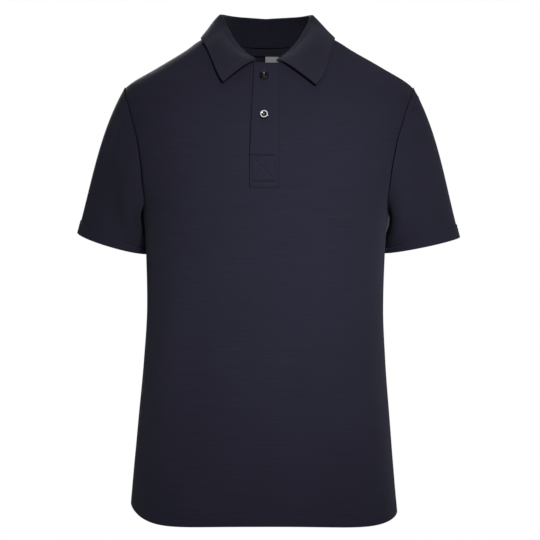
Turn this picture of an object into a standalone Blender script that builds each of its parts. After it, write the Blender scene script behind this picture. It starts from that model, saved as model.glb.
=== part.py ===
"""A short-sleeved polo shirt, hollow and filled out as on a general figure with its arms hanging.

Metres, +Z up. The front faces -Y and the wearer's left is +X. The origin is the middle of the neck,
at the height of the side neck points, where the shoulder seams meet the collar.

The body is a stack of rounded rings, so any point of it has an angle and a height. Both panels, the
plackets, the neck tape and the label take their points from those rings, moved out or in.
"""

import math
from collections import namedtuple

import bmesh
import bpy
import numpy as np
from mathutils import Matrix

FRONT, BACK = -1, 1  # the sign of Y on that side
RIGHT, LEFT = -1, 1  # the wearer's, the sign of X
SEAM_GAP = 0.0004

PIQUE_THICKNESS = 0.0012
HEM_THICKNESS = 0.0022  # two layers
HEM_DEPTH = 0.020
HEM_STEP = 0.0015
COLLAR_THICKNESS = 0.0017
UPPER_PLACKET_THICKNESS = 0.0018
UNDER_PLACKET_THICKNESS = 0.0014
TAPE_THICKNESS = 0.0007
LABEL_THICKNESS = 0.0005

NAVY = (0.018, 0.018, 0.035)
NAVY_RIB = (0.016, 0.016, 0.032)
BUTTON_NAVY = (0.008, 0.008, 0.014)
LABEL_GREY = (0.55, 0.56, 0.58)

# The body's rings. Squareness is the ring's exponent: 2 is an ellipse, more is a rounder rectangle.
Ring = namedtuple("Ring", "height half_width front back squareness lean")
RINGS = (
    Ring(0.000, 0.0780, 0.0600, 0.0520, 2.00, 0.0010),
    Ring(-0.012, 0.1030, 0.0650, 0.0570, 2.00, 0.0020),
    Ring(-0.024, 0.1205, 0.0700, 0.0630, 2.00, 0.0035),
    Ring(-0.050, 0.1640, 0.0780, 0.0780, 2.05, 0.0050),
    Ring(-0.080, 0.2105, 0.0910, 0.0910, 2.10, 0.0038),
    Ring(-0.098, 0.2215, 0.0980, 0.0975, 2.12, 0.0028),
    Ring(-0.130, 0.2250, 0.1080, 0.1060, 2.20, 0.0020),
    Ring(-0.170, 0.2185, 0.1160, 0.1120, 2.28, 0.0010),
    Ring(-0.215, 0.2010, 0.1200, 0.1130, 2.40, 0.0000),
    Ring(-0.258, 0.1800, 0.1200, 0.1110, 2.50, -0.0008),
    Ring(-0.320, 0.1750, 0.1180, 0.1070, 2.45, -0.0015),
    Ring(-0.400, 0.1730, 0.1155, 0.1040, 2.40, -0.0020),
    Ring(-0.480, 0.1768, 0.1150, 0.1060, 2.40, -0.0028),
    Ring(-0.560, 0.1833, 0.1165, 0.1110, 2.45, -0.0036),
    Ring(-0.630, 0.1893, 0.1180, 0.1150, 2.55, -0.0042),
    Ring(-0.705, 0.1960, 0.1190, 0.1180, 2.70, -0.0040),
)
SHOULDER_TIP = -0.080
ARMPIT = -0.258
HEM_AT_SIDE = -0.689
HEM_DIP = 0.012  # how much lower the hem is at the centre front and back
HEM_SWING = 0.004  # how much more half-way to the side
HEM_TILT = 0.005  # how much lower it ends on the wearer's left, and higher on the right
HEM_LEFT_DROP = 0.0035  # and how much lower again on the left
NECK_DIP = {FRONT: 0.050, BACK: 0.016}
NECK_POWER = {FRONT: 4.0, BACK: 1.7}  # how fast the neck rises from its dip towards the shoulder
ARMHOLE_BITE = {FRONT: 35.0, BACK: 33.0}  # degrees of the ring that the armhole takes
ARMHOLE_ROUNDNESS = 0.85

BODY_ROWS = 9
ARMHOLE_ROWS = 10
SHOULDER_ROWS = 5
SIDE_COLUMNS = 9

PLACKET_LEFT_EDGE = 0.0175  # the seam on the wearer's left
PLACKET_RIGHT_EDGE = -0.0238
PLACKET_FOOT_ROW = 7  # armhole rows below the shoulder tip
PLACKET_ROWS = 12
UPPER_PLACKET_LIFT = 0.0011
UPPER_PLACKET_SLANT = 0.0055  # how far its free edge stands back at the neck
UNDER_PLACKET_LIFT = -0.0011
UNDER_PLACKET_SHORT = 0.0040

# The largest folds of the body: each runs from a top to a foot, as x and height, and fades at both.
Fold = namedtuple("Fold", "side top_x top_height foot_x foot_height width rise")
FOLDS = (
    Fold(FRONT, -0.126, -0.330, -0.166, -0.600, 0.020, 0.0040),
    Fold(FRONT, -0.098, -0.360, -0.120, -0.640, 0.026, -0.0030),
    Fold(FRONT, 0.040, -0.370, 0.036, -0.590, 0.020, -0.0028),
    Fold(FRONT, 0.022, -0.520, 0.016, -0.690, 0.024, 0.0026),
    Fold(FRONT, 0.128, -0.420, 0.162, -0.660, 0.020, 0.0036),
    Fold(FRONT, 0.100, -0.440, 0.124, -0.680, 0.024, -0.0026),
    Fold(BACK, -0.120, -0.290, -0.080, -0.480, 0.026, -0.0040),
    Fold(BACK, 0.126, -0.300, 0.090, -0.500, 0.026, -0.0040),
    Fold(BACK, 0.000, -0.330, 0.012, -0.600, 0.030, 0.0035),
    Fold(BACK, -0.070, -0.520, -0.086, -0.690, 0.024, 0.0035),
    Fold(BACK, 0.076, -0.540, 0.080, -0.690, 0.024, 0.0032),
)

# The open end of each sleeve: its outermost and innermost points.
Cuff = namedtuple("Cuff", "outer_x outer_y outer_height inner_x inner_y inner_height half_depth front_drop")
CUFFS = {
    RIGHT: Cuff(0.2825, 0.0540, -0.2922, 0.1755, 0.0450, -0.3230, 0.0560, 0.0050),
    LEFT: Cuff(0.2858, 0.0300, -0.2990, 0.1740, 0.0320, -0.3222, 0.0560, 0.0020),
}
SLEEVE_ROWS = 9
SLEEVE_LIFT = 0.0016  # the sleeve's end above the panel at the armhole
# Shares of each way that a line leaves the seam: down the arm, out at the top, out at the armpit,
# more out at the front and back, and forward.
SLEEVE_LEAVES = (0.80, 0.26, 0.09, 0.24, 0.15)
SLEEVE_END_FLARE = 0.05

# The collar from the centre back (0) to its front end (1). Roll is the top of the fold; the outer
# edge lies on the body, where around is 0 at the centre back, 90 at the side and 180 at the front.
Roll = namedtuple("Roll", "along x y height fold_radius")
ROLL = (
    Roll(0.00, 0.0000, 0.0500, 0.0275, 0.0024),
    Roll(0.20, 0.0360, 0.0410, 0.0285, 0.0024),
    Roll(0.38, 0.0600, 0.0180, 0.0285, 0.0024),
    Roll(0.48, 0.0655, 0.0000, 0.0270, 0.0024),
    Roll(0.62, 0.0590, -0.0230, 0.0110, 0.0022),
    Roll(0.75, 0.0470, -0.0440, -0.0120, 0.0020),
    Roll(0.88, 0.0305, -0.0620, -0.0320, 0.0018),
    Roll(1.00, 0.0148, -0.0775, -0.0450, 0.0014),
)
OuterEdge = namedtuple("OuterEdge", "along around height")
OUTER_EDGE = (
    OuterEdge(0.00, 0.0, -0.0210),
    OuterEdge(0.20, 27.4, -0.0190),
    OuterEdge(0.38, 58.8, -0.0105),
    OuterEdge(0.48, 90.0, -0.0065),
    OuterEdge(0.62, 124.0, -0.0180),
    OuterEdge(0.75, 144.5, -0.0380),
    OuterEdge(0.88, 156.2, -0.0605),
    OuterEdge(1.00, 163.3, -0.0800),
)
COLLAR_END_X = 0.0145
COLLAR_HALF_COLUMNS = 16
COLLAR_FOOT_GAP = 0.0016
COLLAR_FOOT_LIFT = 0.0012
COLLAR_LIFT = 0.0034  # the middle of its wall above the body
TIP_LIFT = 0.0030  # how much more at its front ends
LEFT_TIP_DROP = 0.0045  # how much lower the tip is on the wearer's left
NECK_MARGIN = 0.008  # over which the fall starts to be held off the body
FALL_BOW = 0.30
FALL_SPRING = 0.12  # how far it first springs out, as a share of its depth
FALL_ROWS = 5
FALL_ROW_POWER = 1.4  # rows are closer together near the roll

TAPE_GAP = 0.0014  # between the back panel and the tape inside it
TAPE_DEPTH = 0.009
TAPE_REACH = 70  # degrees to each side of the centre back, in line with the panel's columns
TAPE_COLUMNS = 14
LABEL_LEFT, LABEL_RIGHT = 0.0180, -0.0020
LABEL_TOP, LABEL_FOOT = -0.0260, -0.0370
LABEL_GAP = 0.0007

BUTTON_RADIUS = 0.00635
BUTTON_THICKNESS = 0.0026
BUTTON_SIDES = 24
BUTTON_HOLE_RADIUS = 0.0007
BUTTON_HOLE_SPREAD = 0.0013
BUTTON_X = -0.0033
BUTTON_HEIGHTS = {"button_top": -0.0690, "button_low": -0.1255}


def smooth_columns(rows):
    """A function of the rows' first column that gives the others, with no overshoot between rows."""
    table = np.array(sorted(rows), float)
    at, values = table[:, 0], table[:, 1:]
    steps = np.diff(at)[:, None]
    slopes = np.diff(values, axis=0) / steps
    tangents = np.zeros_like(values)
    tangents[0], tangents[-1] = slopes[0], slopes[-1]
    before, after = slopes[:-1], slopes[1:]
    together = before * after > 0
    tangents[1:-1] = np.where(together, 2 * before * after / np.where(together, before + after, 1), 0)

    def value(x):
        x = min(max(x, at[0]), at[-1])
        k = min(int(np.searchsorted(at, x, side="right")) - 1, len(at) - 2)
        step = at[k + 1] - at[k]
        t = (x - at[k]) / step
        return (
            values[k] * (1 + 2 * t) * (1 - t) ** 2
            + tangents[k] * step * t * (1 - t) ** 2
            + values[k + 1] * t * t * (3 - 2 * t)
            + tangents[k + 1] * step * t * t * (t - 1)
        )

    return value


ring_at = smooth_columns(RINGS)
roll_at = smooth_columns(ROLL)
outer_edge_at = smooth_columns(OUTER_EDGE)


def unit(vector):
    return vector / np.linalg.norm(vector)


def signed_power(value, power):
    return math.copysign(abs(value) ** power, value)


def bare_point(side, angle, height):
    """A point of the ring at that height, before folds; angle is from the centre line, in radians."""
    half_width, front, back, squareness, lean = ring_at(height)
    depth = front if side == FRONT else back
    return np.array((
        lean + half_width * signed_power(math.sin(angle), 2 / squareness),
        side * depth * signed_power(math.cos(angle), 2 / squareness),
        height,
    ))


def body_normal(side, angle, height, step=1e-3):
    across = bare_point(side, angle + step, height) - bare_point(side, angle - step, height)
    up = bare_point(side, angle, height + step) - bare_point(side, angle, height - step)
    return -side * unit(np.cross(across, up))


def fold_rise(side, x, height):
    """How far the folds move the cloth out at this place."""
    total = 0.0
    for fold in FOLDS:
        if fold.side != side:
            continue
        run = np.array((fold.foot_x - fold.top_x, fold.foot_height - fold.top_height))
        away = np.array((x - fold.top_x, height - fold.top_height))
        along = away @ run / (run @ run)
        beside = (away[0] * run[1] - away[1] * run[0]) / np.linalg.norm(run)
        fade = math.sin(math.pi * min(max(along, 0), 1)) ** 0.7
        total += fold.rise * fade * math.exp(-((beside / fold.width) ** 2))
    return total


def body_point(side, angle, height, lift=0.0):
    point = bare_point(side, angle, height)
    rise = fold_rise(side, point[0], height)
    return point + (rise + lift) * body_normal(side, angle, height)


def row_height(side, row, angle):
    """A row is level at the side and dips to the neck or the hem at the centre line."""
    neck_share = min(max((row - ARMPIT) / -ARMPIT, 0), 1)
    hem_share = min(max((ARMPIT - row) / (ARMPIT - HEM_AT_SIDE), 0), 1)
    rounded = max(math.cos(angle), 0)
    neck = NECK_DIP[side] * neck_share * rounded ** NECK_POWER[side]
    across = math.sin(angle)
    hem = HEM_DIP * (1 - across ** 6) + HEM_SWING * math.sin(2 * angle) ** 2
    hem = hem + HEM_TILT * across ** 5 + HEM_LEFT_DROP * across ** 4 * (across > 0)
    return row - neck - hem * hem_share


def angle_at(side, row, x):
    """The angle at which this row passes x."""
    angle = 0.0
    for _ in range(8):
        half_width, *_, squareness, lean = ring_at(row_height(side, row, angle))
        share = (x - lean) / half_width
        angle = math.asin(signed_power(share, squareness / 2))
    return angle


def armhole_row(share):
    """Row heights down the armhole, closer together at its top and foot, where it turns."""
    return SHOULDER_TIP + (ARMPIT - SHOULDER_TIP) * (1 - math.cos(math.pi * share)) / 2


def edge_angle(side, row):
    """Where a row ends: at the side or shoulder seam, or at the armhole."""
    share = (row - SHOULDER_TIP) / (ARMPIT - SHOULDER_TIP)
    if not 0 < share < 1:
        return math.pi / 2
    turn = math.acos(1 - 2 * share)
    return math.pi / 2 - math.radians(ARMHOLE_BITE[side]) * math.sin(turn) ** ARMHOLE_ROUNDNESS


def mesh_object(name, points, faces, material):
    mesh = bpy.data.meshes.new(name)
    mesh.from_pydata([tuple(p) for p in points], [], faces)
    mesh.shade_smooth()
    mesh.set_sharp_from_angle(angle=math.radians(50))
    mesh.materials.append(material)
    piece = bpy.data.objects.new(name, mesh)
    bpy.context.scene.collection.objects.link(piece)
    return piece


def wall_between(name, outer, inner, material, closed_ring=False, cut_out=()):
    """A closed wall between two grids of points. cut_out holds the (row, column) cells to leave open."""
    rows, columns = outer.shape[:2]
    spans = columns if closed_ring else columns - 1

    def corner(layer, row, column):
        return layer * rows * columns + row * columns + column % columns

    faces = []
    open_edges = {}
    for row in range(rows - 1):
        for column in range(spans):
            if (row, column) in cut_out:
                continue
            ring = [(row, column), (row, column + 1), (row + 1, column + 1), (row + 1, column)]
            faces.append([corner(0, *place) for place in ring])
            faces.append([corner(1, *place) for place in reversed(ring)])
            for start, end in zip(ring, ring[1:] + ring[:1]):
                a, b = corner(0, *start), corner(0, *end)
                if open_edges.pop((b, a), None) is None:
                    open_edges[a, b] = True
    layer_size = rows * columns
    for a, b in open_edges:
        faces.append([b, a, a + layer_size, b + layer_size])
    points = np.concatenate([outer.reshape(-1, 3), inner.reshape(-1, 3)])
    used = sorted({index for face in faces for index in face})
    renumbered = {old: new for new, old in enumerate(used)}
    faces = [[renumbered[index] for index in face] for face in faces]
    return mesh_object(name, points[used], faces, material)


def cloth_material(name, colour, roughness):
    material = bpy.data.materials.new(name)
    material.use_nodes = True
    shader = material.node_tree.nodes["Principled BSDF"]
    shader.inputs["Base Color"].default_value = (*colour, 1)
    shader.inputs["Roughness"].default_value = roughness
    shader.inputs["Metallic"].default_value = 0
    return material


def panel_rows():
    """Row heights at the side, from the hem to the neck, and the cloth's thickness at each."""
    hem_top = HEM_AT_SIDE + HEM_DEPTH
    rows = [(HEM_AT_SIDE, HEM_THICKNESS), (hem_top, HEM_THICKNESS)]
    rows += [(h, PIQUE_THICKNESS) for h in np.linspace(hem_top + HEM_STEP, ARMPIT, BODY_ROWS + 1)]
    for k in range(ARMHOLE_ROWS - 1, -1, -1):
        rows.append((armhole_row(k / ARMHOLE_ROWS), PIQUE_THICKNESS))
    rows += [(h, PIQUE_THICKNESS) for h in np.linspace(SHOULDER_TIP, 0, SHOULDER_ROWS + 1)[1:]]
    return rows


def panel_angles(side, row, fixed_x):
    """One row's angles: at the fixed x places, then in even steps out to both edges."""
    inner = [angle_at(side, row, x) for x in fixed_x]
    edge = edge_angle(side, row)
    outwards = [k / SIDE_COLUMNS for k in range(1, SIDE_COLUMNS + 1)]
    right = [inner[0] + (-edge - inner[0]) * share for share in reversed(outwards)]
    left = [inner[-1] + (edge - inner[-1]) * share for share in outwards]
    return right + inner + left


def build_panel(name, side, fixed_x, material, cut_out=()):
    """Front or back: from the hem up to the neck, out to the side seams, armholes and shoulder seams."""
    outer, inner = [], []
    for row, thickness in panel_rows():
        angles = panel_angles(side, row, fixed_x)
        heights = [row_height(side, row, angle) for angle in angles]
        off_seam = np.array((0, side * SEAM_GAP / 2, 0))
        outer.append([body_point(side, a, h) + off_seam for a, h in zip(angles, heights)])
        inner.append([body_point(side, a, h, -thickness) + off_seam for a, h in zip(angles, heights)])
    outer, inner = np.array(outer), np.array(inner)
    if side == BACK:
        outer, inner = outer[:, ::-1], inner[:, ::-1]
    return wall_between(name, outer, inner, material, cut_out=cut_out)


def placket_cut_out():
    """The cells of the front that the placket opening takes: two columns, from its foot to the neck."""
    rows = len(panel_rows()) - 1
    foot = rows - SHOULDER_ROWS - PLACKET_FOOT_ROW
    return {(row, SIDE_COLUMNS + k) for row in range(foot, rows) for k in (0, 1)}


def build_strip(name, side, rows, edges, columns, lift, thickness, material):
    """A strip on the body. edges gives its first and last x at a share of its length."""
    outer, inner = [], []
    for k, row in enumerate(rows):
        first, last = edges(k / (len(rows) - 1))
        angles = [angle_at(side, row, x) for x in np.linspace(first, last, columns + 1)]
        heights = [row_height(side, row, angle) for angle in angles]
        outer.append([body_point(side, a, h, lift) for a, h in zip(angles, heights)])
        inner.append([body_point(side, a, h, lift - thickness) for a, h in zip(angles, heights)])
    outer, inner = np.array(outer), np.array(inner)
    if side == BACK:
        outer, inner = outer[:, ::-1], inner[:, ::-1]
    return wall_between(name, outer, inner, material)


def build_plackets(material):
    foot_row = armhole_row(PLACKET_FOOT_ROW / ARMHOLE_ROWS)
    rows = np.linspace(foot_row + SEAM_GAP, 0, PLACKET_ROWS + 1)
    left = PLACKET_LEFT_EDGE - SEAM_GAP
    right = PLACKET_RIGHT_EDGE + SEAM_GAP
    build_strip(
        "placket_under", FRONT, rows,
        lambda share: (right, left - UNDER_PLACKET_SHORT),
        2, UNDER_PLACKET_LIFT, UNDER_PLACKET_THICKNESS, material,
    )
    build_strip(
        "placket_upper", FRONT, rows,
        lambda share: (right + UPPER_PLACKET_SLANT * max(share - 0.25, 0) / 0.75, left),
        2, UPPER_PLACKET_LIFT, UPPER_PLACKET_THICKNESS, material,
    )


def armhole_loop(hand):
    """The armhole as points, each with its body normal: tip, down the front, armpit, up the back."""
    places = [(FRONT, k) for k in range(ARMHOLE_ROWS)]
    places += [(BACK, k) for k in range(ARMHOLE_ROWS, 0, -1)]
    points, normals = [], []
    for side, k in places:
        row = armhole_row(k / ARMHOLE_ROWS)
        angle = hand * edge_angle(side, row)
        height = row_height(side, row, angle)
        points.append(body_point(side, angle, height))
        normals.append(body_normal(side, angle, height))
    return np.array(points), np.array(normals)


def build_sleeve(name, hand, material):
    """A tube from the armhole to the cuff. Each line along it leaves the seam outwards and then hangs."""
    seam, normals = armhole_loop(hand)
    around = np.roll(seam, -1, axis=0) - np.roll(seam, 1, axis=0)
    off_panel = np.cross(around, normals) * hand
    off_panel /= np.linalg.norm(off_panel, axis=1)[:, None]
    start = seam + SEAM_GAP * off_panel + SLEEVE_LIFT * normals

    cuff = CUFFS[hand]
    outermost = np.array((hand * cuff.outer_x, cuff.outer_y, cuff.outer_height))
    innermost = np.array((hand * cuff.inner_x, cuff.inner_y, cuff.inner_height))
    middle, reach = (outermost + innermost) / 2, (outermost - innermost) / 2
    forward = np.array((0, -cuff.half_depth, -cuff.front_drop))
    steps = np.linalg.norm(np.roll(seam, -1, axis=0) - seam, axis=1)
    front_length, back_length = steps[:ARMHOLE_ROWS].sum(), steps[ARMHOLE_ROWS:].sum()
    down_front = np.concatenate([[0], np.cumsum(steps[:ARMHOLE_ROWS])]) / front_length
    up_back = np.cumsum(steps[ARMHOLE_ROWS:-1]) / back_length
    turns = np.pi * np.concatenate([down_front, 1 + up_back])
    rim = middle + np.cos(turns)[:, None] * reach + np.sin(turns)[:, None] * forward

    armpit_k = ARMHOLE_ROWS
    down_arm = unit(rim.mean(axis=0) - seam[[0, armpit_k]].mean(axis=0))
    down, out_top, out_armpit, out_sides, to_front = SLEEVE_LEAVES
    leaving = np.array([
        unit(down * down_arm + np.array((
            hand * (
                out_top * (1 + math.cos(turn)) / 2
                + out_armpit * (1 - math.cos(turn)) / 2
                + out_sides * math.sin(turn) ** 2
            ),
            -to_front * math.sin(turn),
            0,
        )))
        for turn in turns
    ])
    arriving = down_arm + SLEEVE_END_FLARE * (rim - middle) / cuff.half_depth
    arriving /= np.linalg.norm(arriving, axis=1)[:, None]
    length = np.linalg.norm(rim - start, axis=1)[:, None]

    hem_share = HEM_DEPTH / length.max()
    shares = list(np.linspace(0, 1 - hem_share - HEM_STEP / length.max(), SLEEVE_ROWS))
    shares += [1 - hem_share, 1]
    thicknesses = [PIQUE_THICKNESS] * SLEEVE_ROWS + [HEM_THICKNESS] * 2
    rows = np.array([
        start * (1 + 2 * t) * (1 - t) ** 2
        + leaving * length * t * (1 - t) ** 2
        + rim * t * t * (3 - 2 * t)
        + arriving * length * t * t * (t - 1)
        for t in shares
    ])
    inner = rows - grid_normals(rows, hand, closed_ring=True) * np.array(thicknesses)[:, None, None]
    if hand == LEFT:
        rows, inner = rows[:, ::-1], inner[:, ::-1]
    return wall_between(name, rows, inner, material, closed_ring=True)


def grid_normals(grid, sign, closed_ring=False):
    """Unit normals of a grid of points, from its neighbours along the rows and columns."""
    along = np.gradient(grid, axis=0)
    if closed_ring:
        across = np.roll(grid, -1, axis=1) - np.roll(grid, 1, axis=1)
    else:
        across = np.gradient(grid, axis=1)
    normals = sign * np.cross(along, across)
    return normals / np.linalg.norm(normals, axis=2)[:, :, None]


def outside_by(point):
    """How far a point lies outside the body's form, nearly, and the direction straight out."""

    def level(place):
        half_width, front, back, squareness, lean = ring_at(place[2])
        depth = front if place[1] < 0 else back
        wide = abs((place[0] - lean) / half_width) ** squareness
        return (wide + abs(place[1] / depth) ** squareness) ** (1 / squareness) - 1

    step = 1e-5
    slope = np.array([
        (level(point + step * axis) - level(point - step * axis)) / (2 * step) for axis in np.eye(3)
    ])
    steepness = np.linalg.norm(slope)
    return level(point) / steepness, slope / steepness


def cleared(point, gap):
    """The point, moved out until it is at least gap outside the body."""
    for _ in range(6):
        distance, direction = outside_by(point)
        if distance < gap:
            point = point + (gap - distance) * direction
    return point


def below_neck(point):
    """How far a point lies below the neck seam."""
    half_width, front, back, squareness, lean = ring_at(point[2])
    side, depth = (FRONT, front) if point[1] < 0 else (BACK, back)
    wide = abs((point[0] - lean) / half_width) ** (squareness / 2)
    deep = abs(point[1] / depth) ** (squareness / 2)
    return row_height(side, 0, math.atan2(wide, deep)) - point[2]


def fall_point(start, bend, edge, t):
    return start * (1 - t) ** 2 + bend * 2 * t * (1 - t) + edge * t * t


def raised_bend(start, bend, edge):
    """The bend, moved out until the fall clears the body wherever it lies on it."""
    for _ in range(12):
        worst, push = 0, 0
        for t in np.linspace(0.1, 0.9, 17):
            point = fall_point(start, bend, edge, t)
            distance, direction = outside_by(point)
            on_body = min(max(below_neck(point) / NECK_MARGIN + 0.5, 0), 1)
            short = (COLLAR_LIFT - distance) * on_body
            if short > worst:
                worst, push = short, short * direction
        bend = bend + 1.6 * push
    return bend


def neck_seam():
    """The neck seam from the collar's end on the wearer's right, round the back, to its left end."""
    places = []
    for side, first, last in ((FRONT, 0, 90), (BACK, 90, -90), (FRONT, -90, 0)):
        for degrees in np.linspace(first, last, 181)[:-1]:
            angle = -math.radians(degrees)
            places.append(body_point(side, angle, row_height(side, 0, angle)))
    places = np.array(places)
    ends = np.abs(places[:, 0]) >= COLLAR_END_X
    behind = places[:, 1] > 0
    return places[ends | behind]


def spread_along(points, shares):
    """Points at these shares of a polyline's length."""
    lengths = np.concatenate([[0], np.cumsum(np.linalg.norm(np.diff(points, axis=0), axis=1))])
    at = np.array(shares) * lengths[-1]
    return np.stack([np.interp(at, lengths, points[:, k]) for k in range(3)], axis=1)


def build_collar(material):
    """One folded strip: the stand from the neck seam up to the roll, the fall out and down to its edge."""
    shares = np.linspace(-1, 1, 2 * COLLAR_HALF_COLUMNS + 1)
    base = spread_along(neck_seam(), (shares + 1) / 2)
    stands, starts, bends, edges = [], [], [], []
    for share, foot in zip(shares, base):
        hand = math.copysign(1, share)
        x, y, height, radius = roll_at(abs(share))
        top = np.array((hand * x, y, height - radius))
        towards_tip = max((abs(share) - 0.65) / 0.35, 0) ** 1.5
        around, edge_height = outer_edge_at(abs(share))
        if hand == LEFT:
            edge_height -= LEFT_TIP_DROP * towards_tip
        side = BACK if around < 90 else FRONT
        angle = math.radians(around if around < 90 else 180 - around)
        edge = body_point(side, hand * angle, edge_height, COLLAR_LIFT + TIP_LIFT * towards_tip)

        rising = unit(top - foot)
        foot = cleared(foot + COLLAR_FOOT_GAP * rising, COLLAR_FOOT_LIFT)
        outwards = edge - top
        outwards = unit(outwards - (outwards @ rising) * rising)
        middle = top + radius * outwards
        fold = [
            middle + radius * (rising * math.sin(turn) - outwards * math.cos(turn))
            for turn in np.linspace(0, math.pi, 5)
        ]
        start = fold[-1]
        reach = np.linalg.norm(edge - start)
        bow = FALL_BOW * min(max((1.05 - abs(share)) / 0.35, 0.1), 1)
        bend = start + reach * (FALL_SPRING * outwards - bow * rising)
        stands.append([foot, (foot + top) / 2, *fold])
        starts.append(start)
        bends.append(raised_bend(start, bend, edge))
        edges.append(edge)
    starts, edges = np.array(starts), np.array(edges)
    offsets = np.pad(np.array(bends) - starts, ((1, 1), (0, 0)), mode="edge")
    bends = starts + (offsets[:-2] + 2 * offsets[1:-1] + offsets[2:]) / 4
    falls = [
        fall_point(starts, bends, edges, t)
        for t in np.linspace(0, 1, FALL_ROWS + 1)[1:] ** FALL_ROW_POWER
    ]
    sections = np.concatenate([np.array(stands), np.array(falls).transpose(1, 0, 2)], axis=1)
    grid = sections.transpose(1, 0, 2)
    normals = grid_normals(grid, -1)
    outer, inner = grid + normals * COLLAR_THICKNESS / 2, grid - normals * COLLAR_THICKNESS / 2
    return wall_between("collar", outer, inner, material)


def build_neck_tape(material):
    """The tape inside the back neck, just under the collar seam."""
    lift = -PIQUE_THICKNESS - TAPE_GAP
    angles = np.radians(np.linspace(-TAPE_REACH, TAPE_REACH, TAPE_COLUMNS + 1))
    outer, inner = [], []
    for depth in (TAPE_DEPTH, TAPE_DEPTH / 2, SEAM_GAP):
        heights = [row_height(BACK, 0, angle) - depth for angle in angles]
        outer.append([body_point(BACK, a, h, lift) for a, h in zip(angles, heights)])
        inner.append([body_point(BACK, a, h, lift - TAPE_THICKNESS) for a, h in zip(angles, heights)])
    return wall_between("neck_tape", np.array(outer)[:, ::-1], np.array(inner)[:, ::-1], material)


def build_label(material):
    """A bare label that hangs inside the back, under the tape."""
    lift = -PIQUE_THICKNESS - LABEL_GAP
    rows = np.linspace(LABEL_FOOT, LABEL_TOP, 3)
    outer, inner = [], []
    for height in rows:
        half_width, _, _, squareness, lean = ring_at(height)
        places = np.linspace(LABEL_LEFT, LABEL_RIGHT, 4)
        angles = [math.asin(signed_power((x - lean) / half_width, squareness / 2)) for x in places]
        outer.append([body_point(BACK, a, height, lift) for a in angles])
        inner.append([body_point(BACK, a, height, lift - LABEL_THICKNESS) for a in angles])
    return wall_between("label", np.array(outer), np.array(inner), material)


def button_blank(name):
    """A turned button with a raised rim and a dished middle, face up, its back at z = 0."""
    profile = (
        (0.00, 0.00), (0.80, 0.00), (0.97, 0.22), (1.00, 0.55),
        (0.96, 0.85), (0.87, 1.00), (0.76, 0.95), (0.62, 0.66), (0.00, 0.60),
    )
    points, rings = [], []
    for radius, height in profile:
        sides = BUTTON_SIDES if radius else 1
        rings.append([len(points) + k for k in range(sides)])
        for k in range(sides):
            turn = 2 * math.pi * k / BUTTON_SIDES
            reach = radius * BUTTON_RADIUS
            points.append((reach * math.cos(turn), reach * math.sin(turn), height * BUTTON_THICKNESS))
    faces = []
    for low, high in zip(rings, rings[1:]):
        for k in range(BUTTON_SIDES):
            n = (k + 1) % BUTTON_SIDES
            if len(low) == 1:
                faces.append([low[0], high[n], high[k]])
            elif len(high) == 1:
                faces.append([low[k], low[n], high[0]])
            else:
                faces.append([low[k], low[n], high[n], high[k]])
    mesh = bpy.data.meshes.new(name)
    mesh.from_pydata(points, [], faces)
    return mesh


def hole_cutter():
    """Four thin rods that pierce a button, joined as one cutter."""
    cutter_mesh = bpy.data.meshes.new("button_hole_cutter")
    rods = bmesh.new()
    for turn in np.radians((45, 135, 225, 315)):
        made = bmesh.ops.create_cone(
            rods, cap_ends=True, segments=8,
            radius1=BUTTON_HOLE_RADIUS, radius2=BUTTON_HOLE_RADIUS, depth=4 * BUTTON_THICKNESS,
        )
        place = (BUTTON_HOLE_SPREAD * math.cos(turn), BUTTON_HOLE_SPREAD * math.sin(turn), 0)
        bmesh.ops.translate(rods, verts=made["verts"], vec=place)
    rods.to_mesh(cutter_mesh)
    rods.free()
    cutter = bpy.data.objects.new("button_hole_cutter", cutter_mesh)
    cutter.hide_render = True
    cutter.display_type = "WIRE"
    bpy.context.scene.collection.objects.link(cutter)
    return cutter


def build_buttons(material):
    """Both buttons sit on the upper placket, their faces square to the cloth."""
    for name, height in BUTTON_HEIGHTS.items():
        half_width, *_, squareness, lean = ring_at(height)
        angle = math.asin(signed_power((BUTTON_X - lean) / half_width, squareness / 2))
        normal = body_normal(FRONT, angle, height)
        place = body_point(FRONT, angle, height, UPPER_PLACKET_LIFT + SEAM_GAP)
        up = unit(np.array((0, 0, 1)) - normal[2] * normal)
        right = np.cross(up, normal)
        button = bpy.data.objects.new(name, button_blank(name))
        button.data.materials.append(material)
        bpy.context.scene.collection.objects.link(button)
        button.matrix_world = Matrix([(right[k], up[k], normal[k], place[k]) for k in range(3)]).to_4x4()
        cutter = hole_cutter()
        cutter.name = f"{name}_hole_cutter"
        cutter.parent = button
        holes = button.modifiers.new("thread_holes", "BOOLEAN")
        holes.object = cutter
        holes.operation = "DIFFERENCE"


for old in list(bpy.data.objects):
    bpy.data.objects.remove(old)

pique = cloth_material("navy_pique", NAVY, 0.90)
rib = cloth_material("navy_rib", NAVY_RIB, 0.92)
tape = cloth_material("navy_tape", NAVY, 0.80)
label_cloth = cloth_material("label_satin", LABEL_GREY, 0.55)
button_plastic = cloth_material("button_plastic", BUTTON_NAVY, 0.25)

placket_middle = (PLACKET_LEFT_EDGE + PLACKET_RIGHT_EDGE) / 2
placket_x = (PLACKET_RIGHT_EDGE, placket_middle, PLACKET_LEFT_EDGE)
build_panel("front", FRONT, placket_x, pique, placket_cut_out())
build_panel("back", BACK, (0.0,), pique)
build_sleeve("sleeve_right", RIGHT, pique)
build_sleeve("sleeve_left", LEFT, pique)
build_collar(rib)
build_plackets(pique)
build_neck_tape(tape)
build_label(label_cloth)
build_buttons(button_plastic)
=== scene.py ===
import math
from collections import namedtuple

import bpy
import numpy as np
from mathutils import Matrix, Vector


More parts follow.
